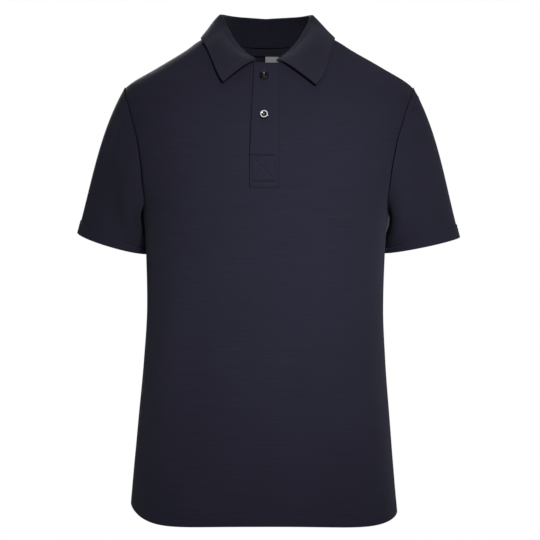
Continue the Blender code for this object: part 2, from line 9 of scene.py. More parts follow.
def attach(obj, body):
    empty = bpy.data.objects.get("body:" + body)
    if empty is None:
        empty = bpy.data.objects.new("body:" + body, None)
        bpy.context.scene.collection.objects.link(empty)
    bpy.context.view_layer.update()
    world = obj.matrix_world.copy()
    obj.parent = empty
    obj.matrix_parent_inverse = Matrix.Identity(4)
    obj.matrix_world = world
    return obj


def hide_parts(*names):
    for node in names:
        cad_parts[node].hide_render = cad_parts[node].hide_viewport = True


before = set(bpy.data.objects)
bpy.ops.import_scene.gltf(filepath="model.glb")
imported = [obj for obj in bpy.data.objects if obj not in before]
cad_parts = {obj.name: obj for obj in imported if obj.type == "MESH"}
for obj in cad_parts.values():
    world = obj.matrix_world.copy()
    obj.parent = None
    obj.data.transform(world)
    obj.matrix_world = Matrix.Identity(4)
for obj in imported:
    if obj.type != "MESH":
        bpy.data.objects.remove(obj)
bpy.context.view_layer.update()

# --------------------
# The studio: a pale floor far below the hanging shirt and a pale room. A gridded key light stands
# high in front, to the wearer's left, and a weaker one glints on the buttons. One more lights the
# back, and a wide weak one hangs overhead.

FRAME_WIDTH = 0.794  # what the camera takes in at the shirt's side seams
SENSOR_WIDTH = 36
CAMERA_AT = (0.0051, -2.30, -0.266)
CAMERA_SHIFT = -0.1019  # the camera is level, and its view reaches further down than up
FLOOR_HEIGHT = -1.45
FLOOR_SIZE = 4.4
FLOOR_GLOW = 0.40  # the floor is a pale sheet that is also lit from below
ROOM_BRIGHTNESS = 1.0  # as seen
ROOM_LIGHT = 0.05  # as it falls on the shirt


def add_object(name, data):
    placed = bpy.data.objects.new(name, data)
    bpy.context.scene.collection.objects.link(placed)
    return placed


def set_inputs(node, values):
    for name, value in values.items():
        node.inputs[name].default_value = value


def new_material(name, values):
    """A material whose surface has these values."""
    material = bpy.data.materials.new(name)
    material.use_nodes = True
    set_inputs(material.node_tree.nodes["Principled BSDF"], values)
    return material


camera_data = bpy.data.cameras.new("camera")
camera_data.sensor_width = SENSOR_WIDTH
camera_data.lens = SENSOR_WIDTH * -CAMERA_AT[1] / FRAME_WIDTH
camera_data.shift_y = CAMERA_SHIFT
camera = add_object("camera", camera_data)
camera.location = CAMERA_AT
camera.rotation_euler = (math.pi / 2, 0, 0)
bpy.context.scene.camera = camera
bpy.context.scene.view_settings.view_transform = "Standard"


# Square softboxes, each with a grid that keeps its light within spread degrees.
Light = namedtuple("Light", "name location size power spread aim")
LIGHTS = (
    Light("key", (0.54, -2.17, 0.80), 0.34, 1.00, 25, (0.030, 0, -0.38)),
    Light("glint", (-0.02, -1.93, 1.10), 0.42, 0.18, 34, (0, -0.1, -0.15)),
    Light("back", (-0.60, 2.20, 0.90), 0.6, 5, 60, (0, 0, -0.35)),
    Light("overhead", (0.10, 0.25, 2.60), 1.6, 4, 100, (0.10, 0.25, 0)),
)
for light in LIGHTS:
    lamp = bpy.data.lights.new(light.name, "AREA")
    lamp.shape = "SQUARE"
    lamp.size = light.size
    lamp.energy = light.power
    lamp.spread = math.radians(light.spread)
    placed = add_object(light.name, lamp)
    placed.location = light.location
    towards = Vector(light.aim) - Vector(light.location)
    placed.rotation_euler = towards.to_track_quat("-Z", "Y").to_euler()

room = bpy.data.worlds.new("room")
room.use_nodes = True
room_nodes = room.node_tree.nodes
sky, seen = room_nodes["Background"], room_nodes.new("ShaderNodeBackground")
ray, pick = room_nodes.new("ShaderNodeLightPath"), room_nodes.new("ShaderNodeMixShader")
set_inputs(sky, {"Strength": ROOM_LIGHT, "Color": (0.98, 0.99, 1.0, 1)})
set_inputs(seen, {"Strength": ROOM_BRIGHTNESS, "Color": (1, 1, 1, 1)})
for source, target in (
    (ray.outputs["Is Camera Ray"], pick.inputs[0]),
    (sky.outputs[0], pick.inputs[1]),
    (seen.outputs[0], pick.inputs[2]),
    (pick.outputs[0], room_nodes["World Output"].inputs["Surface"]),
):
    room.node_tree.links.new(source, target)
bpy.context.scene.world = room

floor_mesh = bpy.data.meshes.new("floor")
half = FLOOR_SIZE / 2
floor_mesh.from_pydata(
    [(x, y, FLOOR_HEIGHT) for x, y in ((-half, -half), (half, -half), (half, half), (-half, half))],
    [], [(0, 1, 2, 3)],
)
floor = add_object("floor", floor_mesh)
floor_mesh.materials.append(new_material("floor_paint", {
    "Base Color": (0.86, 0.86, 0.85, 1), "Roughness": 0.8,
    "Emission Color": (0.97, 0.98, 1.0, 1), "Emission Strength": FLOOR_GLOW,
}))

# --------------------
# The front panel: navy cotton pique, cut in one piece with a slit for the placket. It is sewn to
# the back at the shoulders and sides, and its hem is turned up and held by a twin-needle stitch.

FRONT, BACK = -1, 1  # the sign of Y on that side
RIGHT, LEFT = -1, 1  # the wearer's, the sign of X
SEAM_GAP = 0.0001
PIQUE_THICKNESS = 0.0012
HEM_THICKNESS = 0.0022  # two layers
HEM_DEPTH = 0.020
HEM_STEP = 0.0012  # over which one layer becomes two
NAVY = (0.0172, 0.0162, 0.0330)

# The body's rings. Squareness is the ring's exponent: 2 is an ellipse, more is a rounder rectangle.
Ring = namedtuple("Ring", "height half_width front back squareness lean")
RINGS = (
    Ring(0.000, 0.0780, 0.0600, 0.0520, 2.00, 0.0010),
    Ring(-0.012, 0.1030, 0.0650, 0.0570, 2.00, 0.0020),
    Ring(-0.024, 0.1205, 0.0700, 0.0630, 2.00, 0.0035),
    Ring(-0.050, 0.1640, 0.0780, 0.0780, 2.05, 0.0050),
    Ring(-0.080, 0.2105, 0.0910, 0.0910, 2.10, 0.0038),
    Ring(-0.098, 0.2215, 0.0980, 0.0975, 2.12, 0.0028),
    Ring(-0.130, 0.2250, 0.1080, 0.1060, 2.20, 0.0020),
    Ring(-0.170, 0.2185, 0.1160, 0.1120, 2.28, 0.0010),
    Ring(-0.215, 0.2010, 0.1200, 0.1130, 2.40, 0.0000),
    Ring(-0.258, 0.1800, 0.1200, 0.1110, 2.50, -0.0008),
    Ring(-0.320, 0.1750, 0.1180, 0.1070, 2.45, -0.0015),
    Ring(-0.400, 0.1730, 0.1155, 0.1040, 2.40, -0.0020),
    Ring(-0.480, 0.1768, 0.1150, 0.1060, 2.40, -0.0028),
    Ring(-0.560, 0.1833, 0.1165, 0.1110, 2.45, -0.0036),
    Ring(-0.630, 0.1893, 0.1180, 0.1150, 2.55, -0.0042),
    Ring(-0.705, 0.1960, 0.1190, 0.1180, 2.70, -0.0040),
)
SHOULDER_TIP = -0.080
ARMHOLE_TIP_X = 0.2065
ARMPIT = -0.258
HEM_AT_SIDE = -0.689
HEM_DIP = 0.012  # how much lower the hem is at the centre front and back
HEM_SWING = 0.004  # how much more half-way to the side
HEM_TILT = 0.005  # how much lower it ends on the wearer's left, and higher on the right
HEM_LEFT_DROP = 0.0035  # and how much lower again on the left
NECK_DIP = {FRONT: 0.050, BACK: 0.016}
NECK_POWER = {FRONT: 4.0, BACK: 1.7}  # how fast the neck rises from its dip towards the shoulder
ARMHOLE_BITE = {FRONT: 35.0, BACK: 33.0}  # degrees of the ring that the armhole takes
ARMHOLE_ROUNDNESS = 0.85

# Soft folds: each runs from a top to a foot, as x and height, and fades at both.
Fold = namedtuple("Fold", "side top_x top_height foot_x foot_height width rise")
FOLDS = (
    Fold(FRONT, -0.126, -0.330, -0.166, -0.600, 0.020, 0.0040),
    Fold(FRONT, -0.098, -0.360, -0.120, -0.640, 0.026, -0.0030),
    Fold(FRONT, 0.040, -0.370, 0.036, -0.590, 0.020, -0.0028),
    Fold(FRONT, 0.022, -0.520, 0.016, -0.690, 0.024, 0.0026),
    Fold(FRONT, 0.128, -0.420, 0.162, -0.660, 0.020, 0.0036),
    Fold(FRONT, 0.100, -0.440, 0.124, -0.680, 0.024, -0.0026),
    Fold(BACK, -0.120, -0.290, -0.080, -0.480, 0.026, -0.0040),
    Fold(BACK, 0.126, -0.300, 0.090, -0.500, 0.026, -0.0040),
    Fold(BACK, 0.000, -0.330, 0.012, -0.600, 0.030, 0.0035),
    Fold(BACK, -0.070, -0.520, -0.086, -0.690, 0.024, 0.0035),
    Fold(BACK, 0.076, -0.540, 0.080, -0.690, 0.024, 0.0032),
)
FOLD_FADE = 0.7  # a fold keeps most of its rise until near its ends
BODY_STEP = 0.006
FINE_HEM_STEP = 0.0010
FINE_PAST_HEM = 0.004
ARMHOLE_ROWS = 40
SHOULDER_STEPS = 26
SIDE_COLUMNS = 44
EDGE_CROWDING = 1.5  # columns stand closer together towards the seams

PLACKET_LEFT_EDGE = 0.0175  # the seam on the wearer's left
PLACKET_RIGHT_EDGE = -0.0238
PLACKET_COLUMNS = 10
PLACKET_FOOT_SHARE = 0.7  # down the armhole's rows
PLACKET_FOOT = -0.2286  # its height at the centre line


def hermite(t, start, leaving, end, arriving):
    """A smooth run from start to end, with its slopes there."""
    return (
        start * (1 + 2 * t) * (1 - t) ** 2
        + leaving * t * (1 - t) ** 2
        + end * t * t * (3 - 2 * t)
        + arriving * t * t * (t - 1)
    )


def bell(away, width):
    """1 where away is 0, fading to nothing over about two widths."""
    return np.exp(-((away / width) ** 2))


def smooth_columns(rows):
    """A function of the rows' first column that gives the others, with no overshoot between rows."""
    table = np.array(sorted(rows), float)
    at, values = table[:, 0], table[:, 1:]
    slopes = np.diff(values, axis=0) / np.diff(at)[:, None]
    tangents = np.zeros_like(values)
    tangents[0], tangents[-1] = slopes[0], slopes[-1]
    before, after = slopes[:-1], slopes[1:]
    together = before * after > 0
    tangents[1:-1] = np.where(together, 2 * before * after / np.where(together, before + after, 1), 0)

    def value(x):
        x = np.clip(np.asarray(x, float), at[0], at[-1])
        k = np.clip(np.searchsorted(at, x, side="right") - 1, 0, len(at) - 2)
        step = (at[k + 1] - at[k])[..., None]
        t = (x - at[k])[..., None] / step
        found = hermite(t, values[k], tangents[k] * step, values[k + 1], tangents[k + 1] * step)
        return np.moveaxis(found, -1, 0)

    return value


ring_at = smooth_columns(RINGS)


def signed_power(value, power):
    return np.sign(value) * np.abs(value) ** power


def unit(vectors):
    return vectors / np.linalg.norm(vectors, axis=-1, keepdims=True)


def angle_of(x, height):
    """The angle from the centre line at which the ring at a height passes x."""
    half_width, _, _, squareness, lean = ring_at(height)
    return np.arcsin(signed_power((x - lean) / half_width, squareness / 2))


def bare_point(side, angle, height):
    """Points of the rings before folds; angle is from the centre line, in radians."""
    half_width, front, back, squareness, lean = ring_at(height)
    depth = front if side == FRONT else back
    x = lean + half_width * signed_power(np.sin(angle), 2 / squareness)
    y = side * depth * signed_power(np.cos(angle), 2 / squareness)
    return np.stack([x, y, height + 0 * x], axis=-1)


def body_normal(side, angle, height, step=1e-3):
    across = bare_point(side, angle + step, height) - bare_point(side, angle - step, height)
    up = bare_point(side, angle, height + step) - bare_point(side, angle, height - step)
    return -side * unit(np.cross(across, up))


def fold_rise(side, x, height):
    """How far the folds move the cloth out."""
    total = np.zeros_like(x)
    for fold in FOLDS:
        if fold.side != side:
            continue
        run_x, run_z = fold.foot_x - fold.top_x, fold.foot_height - fold.top_height
        length = math.hypot(run_x, run_z)
        away_x, away_z = x - fold.top_x, height - fold.top_height
        along = np.clip((away_x * run_x + away_z * run_z) / length ** 2, 0, 1)
        beside = (away_x * run_z - away_z * run_x) / length
        total += fold.rise * np.sin(np.pi * along) ** FOLD_FADE * bell(beside, fold.width)
    return total


def body_point(side, angle, height, lift=0.0):
    point = bare_point(side, angle, height)
    rise = fold_rise(side, point[..., 0], point[..., 2]) + lift
    return point + rise[..., None] * body_normal(side, angle, height)


def row_height(side, row, angle):
    """A row dips to the neck or the hem at the centre line, and near the hem it tilts a little."""
    neck_share = np.clip((row - ARMPIT) / -ARMPIT, 0, 1)
    hem_share = np.clip((ARMPIT - row) / (ARMPIT - HEM_AT_SIDE), 0, 1)
    rounded = np.maximum(np.cos(angle), 0)
    neck = NECK_DIP[side] * neck_share * rounded ** NECK_POWER[side]
    across = np.sin(angle)
    hem = HEM_DIP * (1 - across ** 6) + HEM_SWING * np.sin(2 * angle) ** 2
    hem = hem + HEM_TILT * across ** 5 + HEM_LEFT_DROP * across ** 4 * (across > 0)
    return row - neck - hem * hem_share


def angle_at(side, row, x):
    """The angle at which a row passes x, closed in on by repetition."""
    angle = np.zeros(np.broadcast(row, x).shape)
    for _ in range(10):
        angle = angle_of(x, row_height(side, row, angle))
    return angle


def armhole_row(share):
    return SHOULDER_TIP + (ARMPIT - SHOULDER_TIP) * (1 - np.cos(np.pi * share)) / 2


def edge_angle(side, row):
    """Where a row ends: at the side or shoulder seam, or at the armhole."""
    share = np.clip((row - SHOULDER_TIP) / (ARMPIT - SHOULDER_TIP), 0, 1)
    turn = np.arccos(1 - 2 * share)
    return np.pi / 2 - math.radians(ARMHOLE_BITE[side]) * np.sin(turn) ** ARMHOLE_ROUNDNESS


def add_piece(name, points, faces, uvs, material, sharp=40):
    """A mesh object, smooth but for its rims. Its UVs are in metres of cloth."""
    mesh = bpy.data.meshes.new(name)
    mesh.from_pydata(points.tolist(), [], faces)
    layer = mesh.uv_layers.new(name="cloth")
    corners = np.empty(len(mesh.loops), np.int32)
    mesh.loops.foreach_get("vertex_index", corners)
    layer.data.foreach_set("uv", uvs[corners].astype(np.float32).ravel())
    mesh.shade_smooth()
    mesh.set_sharp_from_angle(angle=math.radians(sharp))
    mesh.materials.append(material)
    return add_object(name, mesh)


def stand_in(piece, node):
    """The piece rides on the one body and takes its node's place."""
    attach(piece, "root")
    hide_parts(node)


def wall_between(name, outer, inner, uv, material, closed_ring=False, left_out=None):
    """A closed wall of cloth between two grids of points. left_out marks the cells to leave open."""
    if closed_ring:
        outer, inner = (np.concatenate([grid, grid[:, :1]], axis=1) for grid in (outer, inner))
    rows, columns = outer.shape[:2]
    index = np.arange(rows * columns).reshape(rows, columns)
    if closed_ring:
        index[:, -1] = index[:, 0]
    cells = np.stack([index[:-1, :-1], index[:-1, 1:], index[1:, 1:], index[1:, :-1]], axis=-1)
    keep = np.ones((rows - 1, columns - 1), bool) if left_out is None else ~left_out
    quads = cells[keep]
    layer_size = rows * columns
    starts = quads.ravel()
    ends = np.roll(quads, -1, axis=1).ravel()
    paired = set(zip(starts.tolist(), ends.tolist()))
    rim = [
        (b, a, a + layer_size, b + layer_size)
        for a, b in zip(starts.tolist(), ends.tolist())
        if (b, a) not in paired
    ]
    faces = quads.tolist() + (quads[:, ::-1] + layer_size).tolist() + rim
    points = np.concatenate([outer.reshape(-1, 3), inner.reshape(-1, 3)])
    uvs = np.concatenate([uv.reshape(-1, 2)] * 2)
    used = np.unique(np.array([i for face in faces for i in face]))
    renumbered = np.zeros(len(points), int)
    renumbered[used] = np.arange(len(used))
    faces = [[int(renumbered[i]) for i in face] for face in faces]
    return add_piece(name, points[used], faces, uvs[used], material)


def cloth_uv(grid, closed_ring=False):
    """Metres across and down the cloth, measured along the grid from its middle column."""
    if closed_ring:
        grid = np.concatenate([grid, grid[:, :1]], axis=1)
    across = np.linalg.norm(np.diff(grid, axis=1), axis=2)
    across = np.concatenate([np.zeros((len(grid), 1)), np.cumsum(across, axis=1)], axis=1)
    middle = grid.shape[1] // 2
    across -= across[:, middle:middle + 1]
    down = np.linalg.norm(np.diff(grid, axis=0), axis=2).mean(axis=1)
    down = np.concatenate([[0], np.cumsum(down)])
    return np.stack([across, np.broadcast_to(down[:, None], across.shape)], axis=-1)


def node_math(tree, operation, first, second=None):
    node = tree.nodes.new("ShaderNodeMath")
    node.operation = operation
    for socket, value in zip(node.inputs, (first, second)):
        if value is None:
            continue
        if isinstance(value, (int, float)):
            socket.default_value = value
        else:
            tree.links.new(value, socket)
    return node.outputs[0]


def noise_between(tree, vector, scale, detail, low, high):
    """Noise, spread over 0 to 1 between two of its own levels."""
    noise = tree.nodes.new("ShaderNodeTexNoise")
    set_inputs(noise, {"Scale": scale, "Detail": detail})
    tree.links.new(vector, noise.inputs["Vector"])
    spread = tree.nodes.new("ShaderNodeMapRange")
    set_inputs(spread, {"From Min": low, "From Max": high})
    tree.links.new(noise.outputs["Fac"], spread.inputs["Value"])
    return spread.outputs[0]


# What the uneven yarn adds to the loops' relief and tone, as shares of the loops' own. The loops' own tone
# is painted shade: darker in their hollows, lighter on their tops.
FUZZ_RELIEF, SLUB_RELIEF = 0.7, 0.8
LOOP_PAINTED_SHADE, SLUB_SHADE, CLOUD_SHADE, MIDDLE_SHADE = 0.16, 0.20, 0.10, 0.42
# The colour at the ramp's ends: uneven yarn with the loops' painted shade at the dark end, and uneven yarn
# with their painted light at the light end.
DARK_YARN_AND_SHADE, LIGHT_YARN_AND_LIT_LOOPS = 0.62, 1.45  # of the colour


def knit_material(name, colour, across_pitch, down_pitch, staggered, relief, roughness, sheen):
    """Knitted cotton. Its loops are a relief laid out in metres of cloth, with uneven yarn and fuzz. Its
    colour has painted shade in the loops' hollows, painted light on their tops, and the yarn's own uneven
    tone.
    """
    material = new_material(name, {
        "Roughness": roughness, "Specular IOR Level": 0.25, "Sheen Weight": sheen,
        "Sheen Roughness": 0.55, "Sheen Tint": (0.62, 0.64, 0.85, 1),
    })
    tree = material.node_tree
    shader = tree.nodes["Principled BSDF"]

    def times(first, second):
        return node_math(tree, "MULTIPLY", first, second)

    def plus(first, second):
        return node_math(tree, "ADD", first, second)

    place = tree.nodes.new("ShaderNodeTexCoord")
    split = tree.nodes.new("ShaderNodeSeparateXYZ")
    tree.links.new(place.outputs["UV"], split.inputs[0])
    wales = node_math(tree, "SINE", times(split.outputs[0], 2 * math.pi / across_pitch))
    courses = node_math(tree, "SINE", times(split.outputs[1], 2 * math.pi / down_pitch))
    loops = times(wales, courses) if staggered else plus(wales, times(courses, 0.25))
    fuzz = noise_between(tree, place.outputs["Object"], 2600, 2, 0.3, 0.7)
    stretch = tree.nodes.new("ShaderNodeMapping")
    stretch.inputs["Scale"].default_value = (14, 420, 1)
    tree.links.new(place.outputs["UV"], stretch.inputs["Vector"])
    slubs = noise_between(tree, stretch.outputs[0], 1, 3, 0.35, 0.65)
    clouds = noise_between(tree, place.outputs["Object"], 9, 2, 0.3, 0.7)
    height = plus(plus(loops, times(fuzz, FUZZ_RELIEF)), times(slubs, SLUB_RELIEF))
    bump = tree.nodes.new("ShaderNodeBump")
    set_inputs(bump, {"Strength": 0.55, "Distance": relief})
    tree.links.new(height, bump.inputs["Height"])
    tree.links.new(bump.outputs[0], shader.inputs["Normal"])
    # Painted shade: the colour follows the loops' relief, darker in the hollows and lighter on the tops.
    # The slubs and clouds are the yarn's own uneven tone.
    shade = plus(times(loops, LOOP_PAINTED_SHADE), MIDDLE_SHADE)
    shade = plus(plus(shade, times(slubs, SLUB_SHADE)), times(clouds, CLOUD_SHADE))
    ramp = tree.nodes.new("ShaderNodeValToRGB")
    for stop, share in zip(ramp.color_ramp.elements, (DARK_YARN_AND_SHADE, LIGHT_YARN_AND_LIT_LOOPS)):
        stop.color = (*(share * c for c in colour), 1)
    tree.links.new(shade, ramp.inputs["Fac"])
    tree.links.new(ramp.outputs["Color"], shader.inputs["Base Color"])
    return material


pique = knit_material(
    "navy_pique", NAVY, across_pitch=0.0017, down_pitch=0.0021, staggered=True,
    relief=0.00022, roughness=0.88, sheen=0.07,
)


def panel_rows():
    """Row heights at the side from the hem to the neck, closer together at the hem and armhole."""
    hem = np.arange(HEM_AT_SIDE, HEM_AT_SIDE + HEM_DEPTH + FINE_PAST_HEM, FINE_HEM_STEP)
    body = np.linspace(hem[-1], ARMPIT, int((ARMPIT - hem[-1]) / BODY_STEP))[1:]
    armhole = armhole_row(np.arange(ARMHOLE_ROWS - 1, -1, -1) / ARMHOLE_ROWS)
    shoulder = np.linspace(SHOULDER_TIP, 0, SHOULDER_STEPS + 1)[1:]
    return np.concatenate([hem, body, armhole, shoulder])


def panel_angles(side, rows, fixed_x):
    """Angles at the fixed x places, then in steps out to both edges, closer towards them."""
    rows = rows[:, None]
    inner = angle_at(side, rows, np.array(fixed_x)[None, :])
    edge = edge_angle(side, rows)
    shares = 1 - (1 - np.arange(1, SIDE_COLUMNS + 1) / SIDE_COLUMNS) ** EDGE_CROWDING
    right = inner[:, :1] + (-edge - inner[:, :1]) * shares[None, ::-1]
    left = inner[:, -1:] + (edge - inner[:, -1:]) * shares[None, :]
    return np.concatenate([right, inner, left], axis=1)


HEM_STITCHES = (0.0135, 0.0195)  # heights of the two needle lines above the hem's edge
NEEDLE_PULL = 0.0004  # how far a line of stitches draws the cloth in
NEEDLE_WIDTH = 0.0012
SEAM_SINK = 0.0005  # how far the cloth dips into a seam
SEAM_ROUNDING = 0.0022
TIP_SMOOTHING = 0.012  # around the shoulder's tip the seams lie nearly flush
SINK_AT_TIP = 0.15  # share of the dip that is left there
SWELL = 0.0007  # slow unevenness of hanging cloth
SWELL_FADE = 0.03  # over which it starts at a seam
FOOT_FADE = 0.004  # over which the placket's seams fade below its foot
PUCKER_PITCH = 0.011
PUCKER_DEPTH = 0.25  # how much less some stitches draw in


def swell(side, x, height):
    """Slow waves of unrelated lengths, so that nothing repeats."""
    return SWELL * (
        np.sin(19 * x + 7 * height + side) * np.sin(11 * height + 5 * x + 2)
        + 0.6 * np.sin(31 * x - 13 * height)
    )


def seam_sink(points, from_seam):
    """How far the cloth dips beside a seam, less around the shoulder's tip."""
    from_tip = np.linalg.norm(np.abs(points) - np.abs((ARMHOLE_TIP_X, 0, SHOULDER_TIP)), axis=-1)
    near_tip = np.clip(from_tip / TIP_SMOOTHING, SINK_AT_TIP, 1)
    return -SEAM_SINK * near_tip * bell(from_seam, SEAM_ROUNDING)


def needle_dip(above_edge, lines, along):
    """How far lines of stitches draw the cloth in, a little more at some stitches than others."""
    wave = np.sin(along * 2 * np.pi / PUCKER_PITCH + 3 * np.sin(along * 41))
    pucker = 1 - PUCKER_DEPTH + PUCKER_DEPTH * wave
    return -NEEDLE_PULL * sum(pucker * bell(above_edge - line, NEEDLE_WIDTH) for line in lines)


def panel_surface(side, rows, angles):
    """The outside of a panel, with its normals: it dips along the seams and the needle lines."""
    heights = row_height(side, rows, angles)
    points = body_point(side, angles, heights)
    normals = body_normal(side, angles, heights)
    edge = np.copysign(edge_angle(side, rows), angles)
    seam = body_point(side, edge, row_height(side, rows, edge))
    from_seam = np.linalg.norm(points - seam, axis=-1)
    relief = seam_sink(points, from_seam)
    relief += needle_dip(rows - HEM_AT_SIDE, HEM_STITCHES, points[..., 0])
    relief += swell(side, points[..., 0], heights) * np.clip(from_seam / SWELL_FADE, 0, 1)
    if side == FRONT:
        for seam_x in (PLACKET_LEFT_EDGE, PLACKET_RIGHT_EDGE):
            above_foot = np.clip((heights - PLACKET_FOOT) / FOOT_FADE + 1, 0, 1)
            relief -= SEAM_SINK * bell(points[..., 0] - seam_x, SEAM_ROUNDING) * above_foot
    return points + relief[..., None] * normals, normals


def wall_thickness(above_edge):
    in_hem = np.clip((HEM_DEPTH + HEM_STEP / 2 - above_edge) / HEM_STEP, 0, 1)
    return (PIQUE_THICKNESS + (HEM_THICKNESS - PIQUE_THICKNESS) * in_hem)[:, None, None]


def build_panel(name, node, side, fixed_x, left_out_columns=None):
    rows = panel_rows()
    angles = panel_angles(side, rows, fixed_x)
    outer, normals = panel_surface(side, rows[:, None], angles)
    inner = outer - normals * wall_thickness(rows - HEM_AT_SIDE)
    off_seam = np.array((0, side * SEAM_GAP / 2, 0))
    outer, inner = outer + off_seam, inner + off_seam
    uv = cloth_uv(outer)
    left_out = None
    if left_out_columns:
        left_out = np.zeros((len(rows) - 1, angles.shape[1] - 1), bool)
        foot = int(np.argmin(np.abs(rows - armhole_row(PLACKET_FOOT_SHARE))))
        left_out[foot:, left_out_columns[0]:left_out_columns[1]] = True
    if side == BACK:
        outer, inner, uv = outer[:, ::-1], inner[:, ::-1], uv[:, ::-1]
    panel = wall_between(name, outer, inner, uv, pique, left_out=left_out)
    stand_in(panel, node)
    return panel


# A stitch is a short thread that stands up from the cloth and dips into it at both ends.
STITCH_PITCH = 0.0031
STITCH_LENGTH = 0.0025
THREAD_RADIUS = 0.00024
# Along it as shares of half its length, and its thickness and rise as shares of the radius.
STITCH_PROFILE = (
    (-1.0, 0.30, -1.6), (-0.72, 0.85, -0.3), (0.0, 1.0, 0.25), (0.72, 0.85, -0.3), (1.0, 0.30, -1.6),
)
STITCH_SIDES = 6
HEM_LINE_POINTS = 700
HEM_LINE_MARGIN = 0.02  # radians short of the side seams


def threads(centres, along, normals, lengths, radius):
    """Points and faces of many short threads, each centred on a point of the cloth."""
    along = unit(along)
    up = unit(normals - (normals * along).sum(-1, keepdims=True) * along)
    across = np.cross(along, up)
    turns = np.linspace(0, 2 * np.pi, STITCH_SIDES, endpoint=False)
    rings = []
    for reach, thickness, rise in STITCH_PROFILE:
        middle = centres + along * (reach * lengths / 2)[:, None] + up * rise * radius
        around = np.cos(turns)[:, None, None] * across + np.sin(turns)[:, None, None] * up
        rings.append(middle[None] + thickness * radius * around)
    points = np.stack(rings).transpose(2, 0, 1, 3).reshape(-1, 3)
    per_thread = len(STITCH_PROFILE) * STITCH_SIDES
    lap = [(s, (s + 1) % STITCH_SIDES) for s in range(STITCH_SIDES)]
    template = np.array([
        (a + s, a + n, a + STITCH_SIDES + n, a + STITCH_SIDES + s)
        for a in range(0, per_thread - STITCH_SIDES, STITCH_SIDES) for s, n in lap
    ])
    ends = np.array([list(range(STITCH_SIDES))[::-1], list(range(per_thread - STITCH_SIDES, per_thread))])
    starts = (np.arange(len(centres)) * per_thread)[:, None, None]
    faces = (template[None] + starts).reshape(-1, 4).tolist()
    faces += (ends[None] + starts).reshape(-1, STITCH_SIDES).tolist()
    return points, faces


def plain_material(name, colour, roughness, sheen=0.0, coat=0.0):
    return new_material(name, {
        "Base Color": (*colour, 1), "Roughness": roughness, "Sheen Weight": sheen,
        "Coat Weight": coat, "Coat Roughness": 0.06,
    })


# The thread is navy; that it is darker than the cloth is painted shade, so that the stitched lines read as
# dark grooves.
thread = plain_material("navy_thread", (0.013, 0.013, 0.026), 0.6, sheen=0.1)


def add_threads(name, groups):
    """One joined mesh of the threads of all groups, each a tuple for threads()."""
    points, faces, first = [], [], 0
    for group in groups:
        more_points, more_faces = threads(*group)
        points.append(more_points)
        faces += [[i + first for i in face] for face in more_faces]
        first += len(more_points)
    points = np.concatenate(points)
    piece = add_piece(name, points, faces, points[:, [0, 2]], thread, sharp=60)
    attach(piece, "root")
    return piece


def run_along(line):
    """The distance along a line of points, from its first."""
    return np.concatenate([[0], np.cumsum(np.linalg.norm(np.diff(line, axis=0), axis=1))])


def points_at(where, run, values):
    return np.stack([np.interp(where, run, values[:, k]) for k in range(3)], axis=1)


def stitched(line, normals, pitch=STITCH_PITCH, length=STITCH_LENGTH, radius=THREAD_RADIUS):
    """A group of stitches along a line of points with normals."""
    run = run_along(line)
    count = max(int(run[-1] / pitch), 1)
    at = (np.arange(count) + 0.5) * run[-1] / count
    along = points_at(at + length / 4, run, line) - points_at(at - length / 4, run, line)
    up = unit(points_at(at, run, normals))
    return points_at(at, run, line), along, up, np.full(count, length), radius


def hem_stitches(name, side):
    reach = np.pi / 2 - HEM_LINE_MARGIN
    angles = np.linspace(-reach, reach, HEM_LINE_POINTS)
    rows = [np.full(HEM_LINE_POINTS, HEM_AT_SIDE + height) for height in HEM_STITCHES]
    return add_threads(name, [stitched(*panel_surface(side, row, angles)) for row in rows])


placket_places = np.linspace(PLACKET_RIGHT_EDGE, PLACKET_LEFT_EDGE, PLACKET_COLUMNS + 1)
placket_columns = (SIDE_COLUMNS, SIDE_COLUMNS + PLACKET_COLUMNS)
front_panel = build_panel("front_panel", "front", FRONT, placket_places, placket_columns)
front_stitches = hem_stitches("front_hem_stitches", FRONT)

# --------------------
# The back panel: the same pique, cut whole, with a higher and flatter neck and the same hem.

back_panel = build_panel("back_panel", "back", BACK, np.linspace(-0.01, 0.01, 5))
back_stitches = hem_stitches("back_hem_stitches", BACK)

# --------------------
# The sleeves: short set-in sleeves of the same pique. Each is a tube from the armhole to a
# turned-up, twin-stitched hem, with its own seam under the arm.

# The open end of each sleeve: its outermost and innermost points (x away from the middle), half
# its depth from front to back, and how far its front hangs lower.
Cuff = namedtuple("Cuff", "outer_x outer_y outer_height inner_x inner_y inner_height half_depth front_drop")
CUFFS = {
    RIGHT: Cuff(0.2825, 0.0540, -0.2922, 0.1755, 0.0450, -0.3230, 0.0560, 0.0050),
    LEFT: Cuff(0.2858, 0.0300, -0.2990, 0.1748, 0.0320, -0.3222, 0.0560, 0.0020),
}
SLEEVE_GAP = 0.0003  # to the panels, whose edges turn into the seam as its own does
SLEEVE_LIFT = 0.0003  # of its end above the panel, at the shoulder
ARMPIT_LIFT = 0.0021  # and how much more at the armpit
# Shares of each way that a line leaves the seam: down the arm, out at the top, out at the armpit,
# more out at the front and back, and forward.
SLEEVE_LEAVES = (0.80, 0.26, 0.09, 0.24, 0.15)
SLEEVE_END_FLARE = 0.05
SLEEVE_ROWS = 64
SLEEVE_ROW_POWER = 1.15  # rows stand closer together towards the seam
SLEEVE_HEM_ROWS = 24
SLEEVE_HEM_STITCHES = (0.0125, 0.0185)
